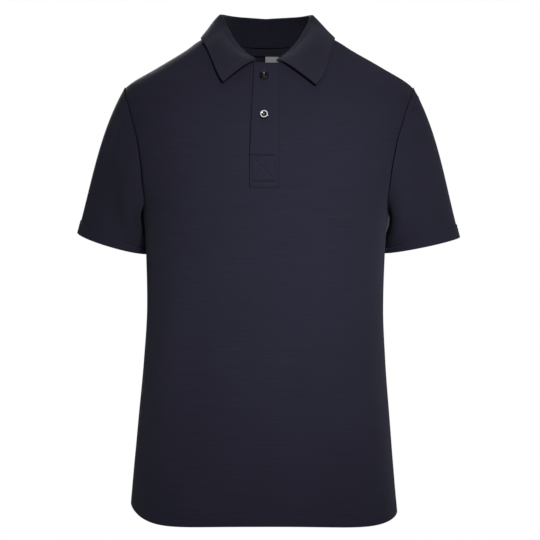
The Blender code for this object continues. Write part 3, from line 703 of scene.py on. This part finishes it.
# Soft folds of a sleeve: middle as turn (degrees from the top, the front is 90) and share of its
# length, with their half sizes, slant in degrees over the whole length, and rise.
SleeveFold = namedtuple("SleeveFold", "hand turn share half_turn half_share slant rise")
SLEEVE_FOLDS = (
    SleeveFold(LEFT, 31, 0.036, 8, 0.026, -555, -0.0036),
    SleeveFold(LEFT, 62, 0.20, 12, 0.14, -120, 0.0024),
    SleeveFold(LEFT, 128, 0.55, 16, 0.35, 30, -0.0035),
    SleeveFold(LEFT, 250, 0.50, 18, 0.35, -30, -0.0040),
    SleeveFold(RIGHT, 60, 0.22, 12, 0.18, 50, -0.0030),
    SleeveFold(RIGHT, 110, 0.50, 14, 0.35, 35, -0.0045),
    SleeveFold(RIGHT, 80, 0.62, 12, 0.32, 20, 0.0030),
    SleeveFold(RIGHT, 255, 0.45, 18, 0.35, -30, -0.0040),
)
FOLD_START = 0.02  # share of the length over which the folds start at the seam
FOLD_END, FOLD_LEFT_AT_CUFF = 0.2, 0.25  # over which they fade at the cuff, and what is left there
PUCKER_TURN = 1100  # degrees of turn to a metre round the hem


def armhole_loop(hand):
    """The armhole as points, each with its body normal: tip, down the front, armpit, up the back."""
    shares = np.arange(ARMHOLE_ROWS + 1) / ARMHOLE_ROWS
    points, normals = [], []
    for side, down in ((FRONT, shares[:-1]), (BACK, shares[:0:-1])):
        rows = armhole_row(down)
        angles = hand * edge_angle(side, rows)
        heights = row_height(side, rows, angles)
        points.append(body_point(side, angles, heights))
        normals.append(body_normal(side, angles, heights))
    return np.concatenate(points), np.concatenate(normals)


def grid_normals(grid, sign, closed_ring=False):
    along = np.gradient(grid, axis=0)
    if closed_ring:
        across = np.roll(grid, -1, axis=1) - np.roll(grid, 1, axis=1)
    else:
        across = np.gradient(grid, axis=1)
    return sign * unit(np.cross(along, across))


def sleeve_form(hand, shares):
    """A sleeve's bare form at shares of its length, with its turns round the arm and its length."""
    seam, normals = armhole_loop(hand)
    around = np.roll(seam, -1, axis=0) - np.roll(seam, 1, axis=0)
    off_panel = unit(np.cross(around, normals) * hand)
    cuff = CUFFS[hand]
    outermost = np.array((hand * cuff.outer_x, cuff.outer_y, cuff.outer_height))
    innermost = np.array((hand * cuff.inner_x, cuff.inner_y, cuff.inner_height))
    middle, reach = (outermost + innermost) / 2, (outermost - innermost) / 2
    forward = np.array((0, -cuff.half_depth, -cuff.front_drop))
    steps = np.linalg.norm(np.roll(seam, -1, axis=0) - seam, axis=1)
    down_front = np.cumsum(steps[:ARMHOLE_ROWS]) / steps[:ARMHOLE_ROWS].sum()
    up_back = np.cumsum(steps[ARMHOLE_ROWS:-1]) / steps[ARMHOLE_ROWS:].sum()
    turns = np.pi * np.concatenate([[0], down_front, 1 + up_back])
    lift = SLEEVE_LIFT + ARMPIT_LIFT * (1 - np.cos(turns)) / 2
    start = seam + SLEEVE_GAP * off_panel + lift[:, None] * normals
    rim = middle + np.cos(turns)[:, None] * reach + np.sin(turns)[:, None] * forward
    down_arm = unit(rim.mean(axis=0) - seam[[0, ARMHOLE_ROWS]].mean(axis=0))
    down, out_top, out_armpit, out_sides, to_front = SLEEVE_LEAVES
    out = (
        out_top * (1 + np.cos(turns)) / 2
        + out_armpit * (1 - np.cos(turns)) / 2
        + out_sides * np.sin(turns) ** 2
    )
    leaving = unit(down * down_arm + np.stack([hand * out, -to_front * np.sin(turns), 0 * turns], axis=1))
    arriving = unit(down_arm + SLEEVE_END_FLARE * (rim - middle) / cuff.half_depth)
    length = np.linalg.norm(rim - start, axis=1)[:, None]
    t = shares[:, None, None]
    grid = hermite(t, start, leaving * length, rim, arriving * length)
    return grid, np.degrees(turns)[None, :], length.max()


def sleeve_surface(hand, shares):
    """The outside of a sleeve, with its normals: soft folds, the seam's dip and the needle lines."""
    grid, turned, length = sleeve_form(hand, shares)
    share = shares[:, None]
    folds = np.zeros(grid.shape[:2])
    for fold in SLEEVE_FOLDS:
        if fold.hand == hand:
            away = (turned - fold.turn - fold.slant * (share - fold.share) + 180) % 360 - 180
            fade = bell(share - fold.share, fold.half_share)
            folds += fold.rise * fade * bell(away, fold.half_turn)
    at_cuff = np.clip((1 - share) / FOLD_END, FOLD_LEFT_AT_CUFF, 1)
    relief = folds * np.clip(share / FOLD_START, 0, 1) * at_cuff
    relief += seam_sink(grid, share * length)
    relief = relief + needle_dip((1 - share) * length, SLEEVE_HEM_STITCHES, turned / PUCKER_TURN)
    normals = grid_normals(grid, hand, closed_ring=True)
    return grid + relief[..., None] * normals, normals, length


def build_sleeve(name, node, hand):
    length = sleeve_form(hand, np.array([0.0, 1.0]))[2]
    hem_share = 1.1 * HEM_DEPTH / length  # a little more than the hem
    near_seam = np.linspace(0, 1, SLEEVE_ROWS) ** SLEEVE_ROW_POWER * (1 - 1.04 * hem_share)
    shares = np.concatenate([near_seam, np.linspace(1 - hem_share, 1, SLEEVE_HEM_ROWS)])
    outer, normals, length = sleeve_surface(hand, shares)
    inner = outer - normals * wall_thickness((1 - shares) * length)
    uv = cloth_uv(outer, closed_ring=True)
    if hand == LEFT:
        outer, inner, uv = outer[:, ::-1], inner[:, ::-1], uv[:, ::-1]
    piece = wall_between(name, outer, inner, uv, pique, closed_ring=True)
    stand_in(piece, node)
    lines = []
    for height in SLEEVE_HEM_STITCHES:
        middle = 1 - height / length
        rows, row_normals, _ = sleeve_surface(hand, middle + np.array([-0.004, 0, 0.004]))
        lines.append(stitched(*(np.concatenate([g[1], g[1, :1]]) for g in (rows, row_normals))))
    stitches = add_threads(f"{name}_hem_stitches", lines)


build_sleeve("right_sleeve", "sleeve_right", RIGHT)
build_sleeve("left_sleeve", "sleeve_left", LEFT)

# --------------------
# The collar: one piece of flat-knitted rib. It is sewn to the neck as a low stand, folds over at
# the roll and falls onto the body to a knitted edge; the two front ends stand a little proud.

COLLAR_THICKNESS = 0.0017
NAVY_RIB = (0.0150, 0.0142, 0.0285)

# The collar from the centre back (0) to its front end (1). The roll is the top of the fold; the
# outer edge lies on the body, where around is 0 at the centre back, 90 at the side, 180 in front.
Station = namedtuple("Station", "along roll_x roll_y roll_height fold_radius edge_around edge_height")
STATIONS = (
    Station(0.00, 0.0000, 0.0500, 0.0275, 0.0024, 0.0, -0.0210),
    Station(0.20, 0.0360, 0.0410, 0.0285, 0.0024, 27.4, -0.0190),
    Station(0.38, 0.0600, 0.0180, 0.0285, 0.0024, 58.8, -0.0105),
    Station(0.48, 0.0655, 0.0000, 0.0270, 0.0024, 90.0, -0.0065),
    Station(0.62, 0.0590, -0.0230, 0.0110, 0.0022, 124.0, -0.0180),
    Station(0.75, 0.0470, -0.0440, -0.0120, 0.0020, 144.5, -0.0380),
    Station(0.88, 0.0305, -0.0620, -0.0320, 0.0018, 156.2, -0.0605),
    Station(1.00, 0.0148, -0.0775, -0.0450, 0.0014, 163.3, -0.0800),
)
COLLAR_END_X = 0.0145
COLLAR_HALF_COLUMNS = 110
COLLAR_FOOT_GAP = 0.0016  # above the neck seam
COLLAR_LIFT = 0.0034  # the middle of its wall above the body
TIP_LIFT = 0.0030  # how much more at its front ends
LEFT_TIP_DROP = 0.0045  # how much lower the tip is on the wearer's left
NECK_MARGIN = 0.008  # over which the fall starts to be held off the body
STAND_ROWS = 8
FOLD_ROWS = 12
FALL_ROWS = 30
FALL_ROW_POWER = 1.3  # rows are closer together near the roll
FALL_BOW = 0.30  # how far the fall arches, as a share of its depth
FALL_SPRING = 0.12  # how far it first springs out, as a share of its depth
BOW_END, BOW_FADE, BOW_LEAST = 1.05, 0.35, 0.1  # the arch flattens towards the front ends
TIP_START = 0.65  # where along it the end starts to rise and drop
PUSH_ROUNDS, PUSH = 12, 1.6  # how the fall is moved out until it clears the body
SMOOTH_REACH, SMOOTH_WIDTH = 12, 6.0  # columns over which that is evened out

rib = knit_material(
    "navy_rib", NAVY_RIB, across_pitch=0.0016, down_pitch=0.0011, staggered=False,
    relief=0.00020, roughness=0.85, sheen=0.20,
)
station_at = smooth_columns(STATIONS)


def outside_by(points):
    """How far points lie outside the body's form, nearly, and the directions straight out."""

    def level(places):
        half_width, front, back, squareness, lean = ring_at(places[..., 2])
        depth = np.where(places[..., 1] < 0, front, back)
        wide = np.abs((places[..., 0] - lean) / half_width) ** squareness
        return (wide + np.abs(places[..., 1] / depth) ** squareness) ** (1 / squareness) - 1

    step = 1e-5
    slope = np.stack(
        [(level(points + step * axis) - level(points - step * axis)) / (2 * step) for axis in np.eye(3)], -1
    )
    steepness = np.linalg.norm(slope, axis=-1)
    return level(points) / steepness, slope / steepness[..., None]


def below_neck(points):
    """How far points lie below the neck seam, all round."""
    half_width, front, back, squareness, lean = ring_at(points[..., 2])
    in_front = points[..., 1] < 0
    wide = np.abs((points[..., 0] - lean) / half_width) ** (squareness / 2)
    deep = np.abs(points[..., 1] / np.where(in_front, front, back)) ** (squareness / 2)
    angle = np.arctan2(wide, deep)
    neck = np.where(in_front, row_height(FRONT, 0.0, angle), row_height(BACK, 0.0, angle))
    return neck - points[..., 2]


def neck_seam():
    """The neck seam from the collar's end on the wearer's right, round the back, to its left end."""
    places = []
    for side, first, last in ((FRONT, 0, 90), (BACK, 90, -90), (FRONT, -90, 0)):
        angles = -np.radians(np.linspace(first, last, 361)[:-1])
        places.append(body_point(side, angles, row_height(side, 0.0, angles)))
    places = np.concatenate(places)
    return places[(np.abs(places[:, 0]) >= COLLAR_END_X) | (places[:, 1] > 0)]


def spread_along(points, shares):
    run = run_along(points)
    return points_at(shares * run[-1], run, points)


def collar_grid():
    """The middle of the collar's wall, from the foot over the roll to the outer edge."""
    shares = np.linspace(-1, 1, 2 * COLLAR_HALF_COLUMNS + 1)
    foot = spread_along(neck_seam(), (shares + 1) / 2)
    hand = np.where(shares < 0, -1.0, 1.0)
    x, y, height, radius, around, edge_height = station_at(np.abs(shares))
    top = np.stack([hand * x, y, height - radius], axis=-1)
    towards_tip = np.clip((np.abs(shares) - TIP_START) / (1 - TIP_START), 0, 1) ** 1.5
    lift = COLLAR_LIFT + TIP_LIFT * towards_tip
    edge_height = edge_height - np.where(hand == LEFT, LEFT_TIP_DROP, 0) * towards_tip
    at_back = body_point(BACK, hand * np.radians(around), edge_height, lift)
    at_front = body_point(FRONT, hand * np.radians(180 - around), edge_height, lift)
    edge = np.where((around < 90)[:, None], at_back, at_front)

    rising = unit(top - foot)
    foot = foot + COLLAR_FOOT_GAP * rising
    outwards = edge - top
    outwards = unit(outwards - (outwards * rising).sum(-1, keepdims=True) * rising)
    middle = top + radius[:, None] * outwards
    sections = [foot + (top - foot) * t for t in np.linspace(0, 1, STAND_ROWS + 1)[:-1]]
    for turn in np.linspace(0, np.pi, FOLD_ROWS + 1):
        sections.append(middle + radius[:, None] * (rising * np.sin(turn) - outwards * np.cos(turn)))
    start = sections[-1]
    reach = np.linalg.norm(edge - start, axis=1)[:, None]
    bow = FALL_BOW * np.clip((BOW_END - np.abs(shares)) / BOW_FADE, BOW_LEAST, 1)[:, None]
    bend = start + reach * (FALL_SPRING * outwards - bow * rising)

    def fall(t):
        t = np.asarray(t)[:, None, None]
        return start * (1 - t) ** 2 + bend * 2 * t * (1 - t) + edge * t * t

    for _ in range(PUSH_ROUNDS):
        points = fall(np.linspace(0.1, 0.9, 17))
        distance, direction = outside_by(points)
        on_body = np.clip(below_neck(points) / NECK_MARGIN + 0.5, 0, 1)
        short = np.maximum(COLLAR_LIFT - distance, 0) * on_body
        worst = short.argmax(axis=0)
        columns = np.arange(len(shares))
        push = short[worst, columns][:, None] * direction[worst, columns]
        bend = bend + PUSH * push
    spread = bell(np.arange(-SMOOTH_REACH, SMOOTH_REACH + 1), SMOOTH_WIDTH)
    spread = spread / spread.sum()
    padded = np.pad(bend - start, ((SMOOTH_REACH, SMOOTH_REACH), (0, 0)), mode="edge")
    bend = start + np.stack([np.convolve(padded[:, k], spread, "valid") for k in range(3)], axis=1)
    rows = fall(np.linspace(0, 1, FALL_ROWS + 1)[1:] ** FALL_ROW_POWER)
    return np.concatenate([np.array(sections), rows])


grid = collar_grid()
normals = grid_normals(grid, -1)
half_thickness = normals * COLLAR_THICKNESS / 2
collar = wall_between("collar_rib", grid + half_thickness, grid - half_thickness, cloth_uv(grid), rib)
stand_in(collar, "collar")

# --------------------
# The placket: an under strip and an upper strip of pique in the front's slit. The foot is closed
# by a box of stitches with a cross in it, and these lines draw the cloth in.

UPPER_PLACKET_LIFT = 0.0011  # its outside above the front's form
UPPER_PLACKET_THICKNESS = 0.0018
PLACKET_GAP = 0.0005  # to the under placket
PLACKET_SIDE_GAP = 0.0003  # to the front panel
FREE_EDGE_GAP = 0.0009  # how far the upper one's free edge stands back at its foot
FREE_EDGE_GROOVE = 0.0018  # the under placket lies deeper along that edge
FREE_EDGE_REACH = 0.0016
UPPER_PLACKET_SLANT = 0.0055  # and how much more at the neck
SLANT_START = 0.25  # share of the way up at which that begins
PUFF, PUFF_REACH = 0.0005, 0.008
UNDER_PLACKET_THICKNESS = 0.0014
UNDER_PLACKET_SHORT = 0.0040  # of the seam on the wearer's left
STRIP_ROWS = 150
STRIP_COLUMNS = 40
SEWN_WIDTH = 0.0013
BOX_STITCH = {"pitch": 0.0028, "length": 0.0023}
FOOT_SINK = 0.0009
FOOT_ROUNDING = 0.003

# The stitched lines at the placket's foot, each from one x and height to another, with its depth.
SewnLine = namedtuple("SewnLine", "first_x first_height last_x last_height depth")
SEWN_LINES = (
    SewnLine(-0.0228, -0.1823, 0.0118, -0.1838, 0.0022),
    SewnLine(0.0118, -0.1838, 0.0122, -0.2200, 0.0011),
    SewnLine(0.0122, -0.2200, -0.0205, -0.2192, 0.0022),
    SewnLine(-0.0205, -0.2192, -0.0212, -0.1850, 0.0011),
    SewnLine(-0.0175, -0.1868, 0.0110, -0.2170, 0.0012),
    SewnLine(0.0100, -0.1868, -0.0180, -0.2150, 0.0012),
)


def front_at(x, height, lift=0.0):
    """Points of the front's form above it by lift, with its normals, from x and height."""
    angle = angle_of(x, height)
    return body_point(FRONT, angle, height, lift), body_normal(FRONT, angle, height)


def sewn_dip(x, height):
    dip = np.zeros_like(x)
    for line in SEWN_LINES:
        run_x, run_z = line.last_x - line.first_x, line.last_height - line.first_height
        along = (x - line.first_x) * run_x + (height - line.first_height) * run_z
        along = np.clip(along / (run_x ** 2 + run_z ** 2), 0, 1)
        away = np.hypot(x - line.first_x - along * run_x, height - line.first_height - along * run_z)
        dip = np.maximum(dip, line.depth * bell(away, SEWN_WIDTH))
    return -dip


def upper_placket_lift(x, height):
    """The upper placket's outside above the front's form: it puffs a little between its sewn lines."""
    from_edge = np.minimum(x - PLACKET_RIGHT_EDGE, PLACKET_LEFT_EDGE - x)
    puff = PUFF * np.clip(from_edge / PUFF_REACH, 0, 1)
    sink = -SEAM_SINK * bell(PLACKET_LEFT_EDGE - x, SEAM_ROUNDING)
    sink -= FOOT_SINK * bell(height - PLACKET_FOOT, FOOT_ROUNDING)
    return UPPER_PLACKET_LIFT + swell(FRONT, x, height) + puff + sink + sewn_dip(x, height)


def upper_placket_surface(x, height):
    return front_at(x, height, upper_placket_lift(x, height))


def strip_places(first_x, last_x):
    """x and height over a strip from the placket's foot up to the neck."""
    share = np.linspace(0, 1, STRIP_ROWS + 1)[:, None]
    across = np.linspace(0, 1, STRIP_COLUMNS + 1)[None, :]
    first = first_x(share)
    x = first + (last_x - first) * across
    row_at_foot = armhole_row(PLACKET_FOOT_SHARE) + PLACKET_SIDE_GAP
    row = row_at_foot * (1 - share) + 0 * x
    return x, row_height(FRONT, row, angle_at(FRONT, row, x))


def build_strip(name, node, outer, inner):
    piece = wall_between(name, outer, inner, cloth_uv(outer), pique)
    stand_in(piece, node)
    return piece


def upper_free_edge(share):
    """x of the upper placket's free edge, from its foot (0) to the neck (1)."""
    slant = np.maximum(share - SLANT_START, 0) / (1 - SLANT_START)
    return PLACKET_RIGHT_EDGE + FREE_EDGE_GAP + UPPER_PLACKET_SLANT * slant


x, height = strip_places(
    lambda share: PLACKET_RIGHT_EDGE + PLACKET_SIDE_GAP + 0 * share, PLACKET_LEFT_EDGE - UNDER_PLACKET_SHORT
)
edge = upper_free_edge(np.linspace(0, 1, STRIP_ROWS + 1)[:, None])
lift = upper_placket_lift(x, height) - UPPER_PLACKET_THICKNESS - PLACKET_GAP
lift -= FREE_EDGE_GROOVE * bell(x - edge, FREE_EDGE_REACH)
outer, normals = front_at(x, height, lift)
inner = outer - UNDER_PLACKET_THICKNESS * normals
under_placket = build_strip("under_placket", "placket_under", outer, inner)

x, height = strip_places(upper_free_edge, PLACKET_LEFT_EDGE - PLACKET_SIDE_GAP)
outer, normals = upper_placket_surface(x, height)
inner = outer - UPPER_PLACKET_THICKNESS * normals
upper_placket = build_strip("upper_placket", "placket_upper", outer, inner)

share = np.linspace(0, 1, 40)
box_stitches = []
for line in SEWN_LINES:
    x = line.first_x + share * (line.last_x - line.first_x)
    height = line.first_height + share * (line.last_height - line.first_height)
    box_stitches.append(stitched(*upper_placket_surface(x, height), **BOX_STITCH))
placket_stitches = add_threads("placket_stitches", box_stitches)

# --------------------
# The neck tape and the label: a narrow twill tape covers the collar seam inside the back neck,
# stitched along both edges. A bare satin label hangs from it.

TAPE_GAP = 0.0014  # between the back panel and the tape inside it
TAPE_THICKNESS = 0.0007
TAPE_DEPTH = 0.009
TAPE_REACH = 70  # degrees to each side of the centre back
TAPE_COLUMNS = 160
TAPE_ROWS = 8
LABEL_LEFT, LABEL_RIGHT = 0.0180, -0.0020
LABEL_TOP, LABEL_FOOT = -0.0260, -0.0370
LABEL_GAP = 0.0007
LABEL_THICKNESS = 0.0005
LABEL_ROWS, LABEL_COLUMNS = 12, 24
TAPE_THREAD_RADIUS = 0.00020


def wall_inside_back(name, angles, heights, gap, thickness, material):
    lift = -PIQUE_THICKNESS - gap
    outer = body_point(BACK, angles, heights, lift)
    inner = body_point(BACK, angles, heights, lift - thickness)
    return wall_between(name, outer[:, ::-1], inner[:, ::-1], cloth_uv(outer)[:, ::-1], material), inner


twill = knit_material(
    "navy_twill", NAVY, across_pitch=0.0012, down_pitch=0.0009, staggered=True,
    relief=0.00010, roughness=0.72, sheen=0.15,
)
tape_angles = np.radians(np.linspace(-TAPE_REACH, TAPE_REACH, TAPE_COLUMNS + 1))[None, :]
tape_depths = np.linspace(TAPE_DEPTH, SEAM_GAP, TAPE_ROWS + 1)[:, None]
tape_heights = row_height(BACK, 0.0, tape_angles) - tape_depths
tape_angles = tape_angles + 0 * tape_heights
neck_tape, tape_face = wall_inside_back(
    "twill_neck_tape", tape_angles, tape_heights, TAPE_GAP, TAPE_THICKNESS, twill
)
stand_in(neck_tape, "neck_tape")
inwards = -body_normal(BACK, tape_angles, tape_heights)
tape_lines = [
    stitched(tape_face[row], inwards[row], radius=TAPE_THREAD_RADIUS) for row in (1, TAPE_ROWS - 1)
]
tape_stitches = add_threads("neck_tape_stitches", tape_lines)

satin = plain_material("label_satin", (0.60, 0.61, 0.63), 0.38, sheen=0.1)
label_heights = np.linspace(LABEL_FOOT, LABEL_TOP, LABEL_ROWS)[:, None]
label_angles = angle_of(np.linspace(LABEL_RIGHT, LABEL_LEFT, LABEL_COLUMNS)[None, :], label_heights)
label, _ = wall_inside_back(
    "satin_label", label_angles, label_heights + 0 * label_angles, LABEL_GAP, LABEL_THICKNESS, satin
)
stand_in(label, "label")

# --------------------
# The buttons: two glossy moulded buttons with four holes, sewn through with navy thread. Each
# sits over a worked buttonhole, the upper one across and the lower one upright.

BUTTON_RADIUS = 0.00635
BUTTON_THICKNESS = 0.0026
BUTTON_SIDES = 72
BUTTON_HOLE_RADIUS = 0.0007
BUTTON_HOLE_SPREAD = 0.0013
BUTTON_X = -0.0033
BUTTON_SEAT = 0.0007  # on the stitches of its buttonhole
# Radius and height as shares of the button's, from the middle of its back to the middle of its face.
BUTTON_PROFILE = (
    (0.00, 0.00), (0.78, 0.00), (0.90, 0.08), (0.97, 0.25), (1.00, 0.50), (0.985, 0.76), (0.955, 0.91),
    (0.915, 0.985), (0.87, 1.00), (0.66, 0.997), (0.46, 0.99), (0.425, 0.95), (0.39, 0.82), (0.36, 0.68),
    (0.32, 0.62), (0.00, 0.60),
)
Button = namedtuple("Button", "name node height buttonhole_upright")
BUTTONS = (
    Button("top_button", "button_top", -0.0690, False),
    Button("low_button", "button_low", -0.1255, True),
)
HOLE_SIDES = 20
HOLE_TURNS = np.radians((45, 135, 225, 315))
BUTTON_THREAD_LENGTH, BUTTON_THREAD_RADIUS = 0.0030, 0.00033
BUTTON_THREAD_RISE = 0.0002  # above the bottom of the button's dish
BUTTONHOLE_LENGTH = 0.0175
BUTTONHOLE_STITCH = 0.00045
LIP_OFFSET, LIP_STITCH = 0.00085, 0.0013  # of the stitches along the slit, from its middle
BAR_OFFSET, BAR_STITCH = 0.0004, 0.0030  # of the bar across each end, past the slit
BUTTONHOLE_THREAD_RADIUS = 0.00026

glossy = plain_material("glossy_button", (0.006, 0.006, 0.010), 0.16, coat=1.0)


def button_mesh(name):
    points, rings = [], []
    for radius, height in BUTTON_PROFILE:
        sides = BUTTON_SIDES if radius else 1
        rings.append([len(points) + k for k in range(sides)])
        for k in range(sides):
            turn = 2 * math.pi * k / BUTTON_SIDES
            reach = radius * BUTTON_RADIUS
            points.append((reach * math.cos(turn), reach * math.sin(turn), height * BUTTON_THICKNESS))
    faces = []
    for low, high in zip(rings, rings[1:]):
        for k in range(BUTTON_SIDES):
            corners = [low[k % len(low)], low[(k + 1) % len(low)]]
            corners += [high[(k + 1) % len(high)], high[k % len(high)]]
            faces.append(list(dict.fromkeys(corners)))  # a triangle at the middle
    mesh = bpy.data.meshes.new(name)
    mesh.from_pydata(points, [], faces)
    return mesh


def pierce(button):
    """Four round holes, cut with one mesh of rods."""
    points, faces = [], []
    around = [2 * math.pi * k / HOLE_SIDES for k in range(HOLE_SIDES)]
    low, high = list(range(HOLE_SIDES)), list(range(HOLE_SIDES, 2 * HOLE_SIDES))
    rod = [[k, n, n + HOLE_SIDES, k + HOLE_SIDES] for k, n in zip(low, low[1:] + low[:1])]
    rod += [low[::-1], high]
    for turn in HOLE_TURNS:
        faces += [[len(points) + k for k in face] for face in rod]
        points += [
            (
                BUTTON_HOLE_SPREAD * math.cos(turn) + BUTTON_HOLE_RADIUS * math.cos(a),
                BUTTON_HOLE_SPREAD * math.sin(turn) + BUTTON_HOLE_RADIUS * math.sin(a),
                end * 2 * BUTTON_THICKNESS,
            )
            for end in (-1, 1) for a in around
        ]
    rods_mesh = bpy.data.meshes.new("hole_rods")
    rods_mesh.from_pydata(points, [], faces)
    rods = add_object("hole_rods", rods_mesh)
    holes = button.modifiers.new("holes", "BOOLEAN")
    holes.object = rods
    holes.operation = "DIFFERENCE"
    bpy.context.view_layer.update()
    pierced = bpy.data.meshes.new_from_object(button.evaluated_get(bpy.context.evaluated_depsgraph_get()))
    button.modifiers.clear()
    button.data = pierced
    bpy.data.objects.remove(rods)


def buttonhole(height, upright):
    """Close stitches on both lips of a slit in the upper placket, and a bar across each end."""
    lips = np.arange(-BUTTONHOLE_LENGTH / 2, BUTTONHOLE_LENGTH / 2, BUTTONHOLE_STITCH)
    ends = np.array([-1, 1]) * (BUTTONHOLE_LENGTH / 2 + BAR_OFFSET)
    along = np.concatenate([lips, lips, ends])
    beside = np.repeat((LIP_OFFSET, -LIP_OFFSET, 0), (len(lips), len(lips), 2))
    lengths = np.repeat((LIP_STITCH, BAR_STITCH), (2 * len(lips), 2))
    x, z = (beside, along) if upright else (along, beside)
    centres, normals = upper_placket_surface(BUTTON_X + x, height + z)
    step = np.array((1.0, 0, 0)) if upright else np.array((0, 0, 1.0))
    return centres, np.broadcast_to(step, centres.shape), normals, lengths, BUTTONHOLE_THREAD_RADIUS


for button in BUTTONS:
    place, normal = (v[0] for v in upper_placket_surface(np.array([BUTTON_X]), np.array([button.height])))
    place = place + normal * BUTTON_SEAT
    up = unit(np.array((0, 0, 1)) - normal[2] * normal)
    right = np.cross(up, normal)
    button_object = add_object(button.name, button_mesh(button.name))
    pierce(button_object)
    turned = np.stack([right, up, normal], axis=1)
    mesh = button_object.data
    mesh.transform(Matrix([(*turned[k], place[k]) for k in range(3)]).to_4x4())
    mesh.shade_smooth()
    mesh.set_sharp_from_angle(angle=math.radians(50))
    mesh.materials.clear()
    mesh.materials.append(glossy)
    stand_in(button_object, button.node)
    face = place + normal * (BUTTON_PROFILE[-1][1] * BUTTON_THICKNESS + BUTTON_THREAD_RISE)
    reach = BUTTON_HOLE_SPREAD * math.sqrt(0.5)
    bars = face + reach * np.array((-1, 1, -0.7, 0.7))[:, None] * right
    lengths = np.full(4, BUTTON_THREAD_LENGTH)
    sewn = (bars, np.tile(up, (4, 1)), np.tile(normal, (4, 1)), lengths, BUTTON_THREAD_RADIUS)
    add_threads(f"{button.name}_thread", [sewn])
    add_threads(f"{button.name}hole", [buttonhole(button.height, button.buttonhole_upright)])
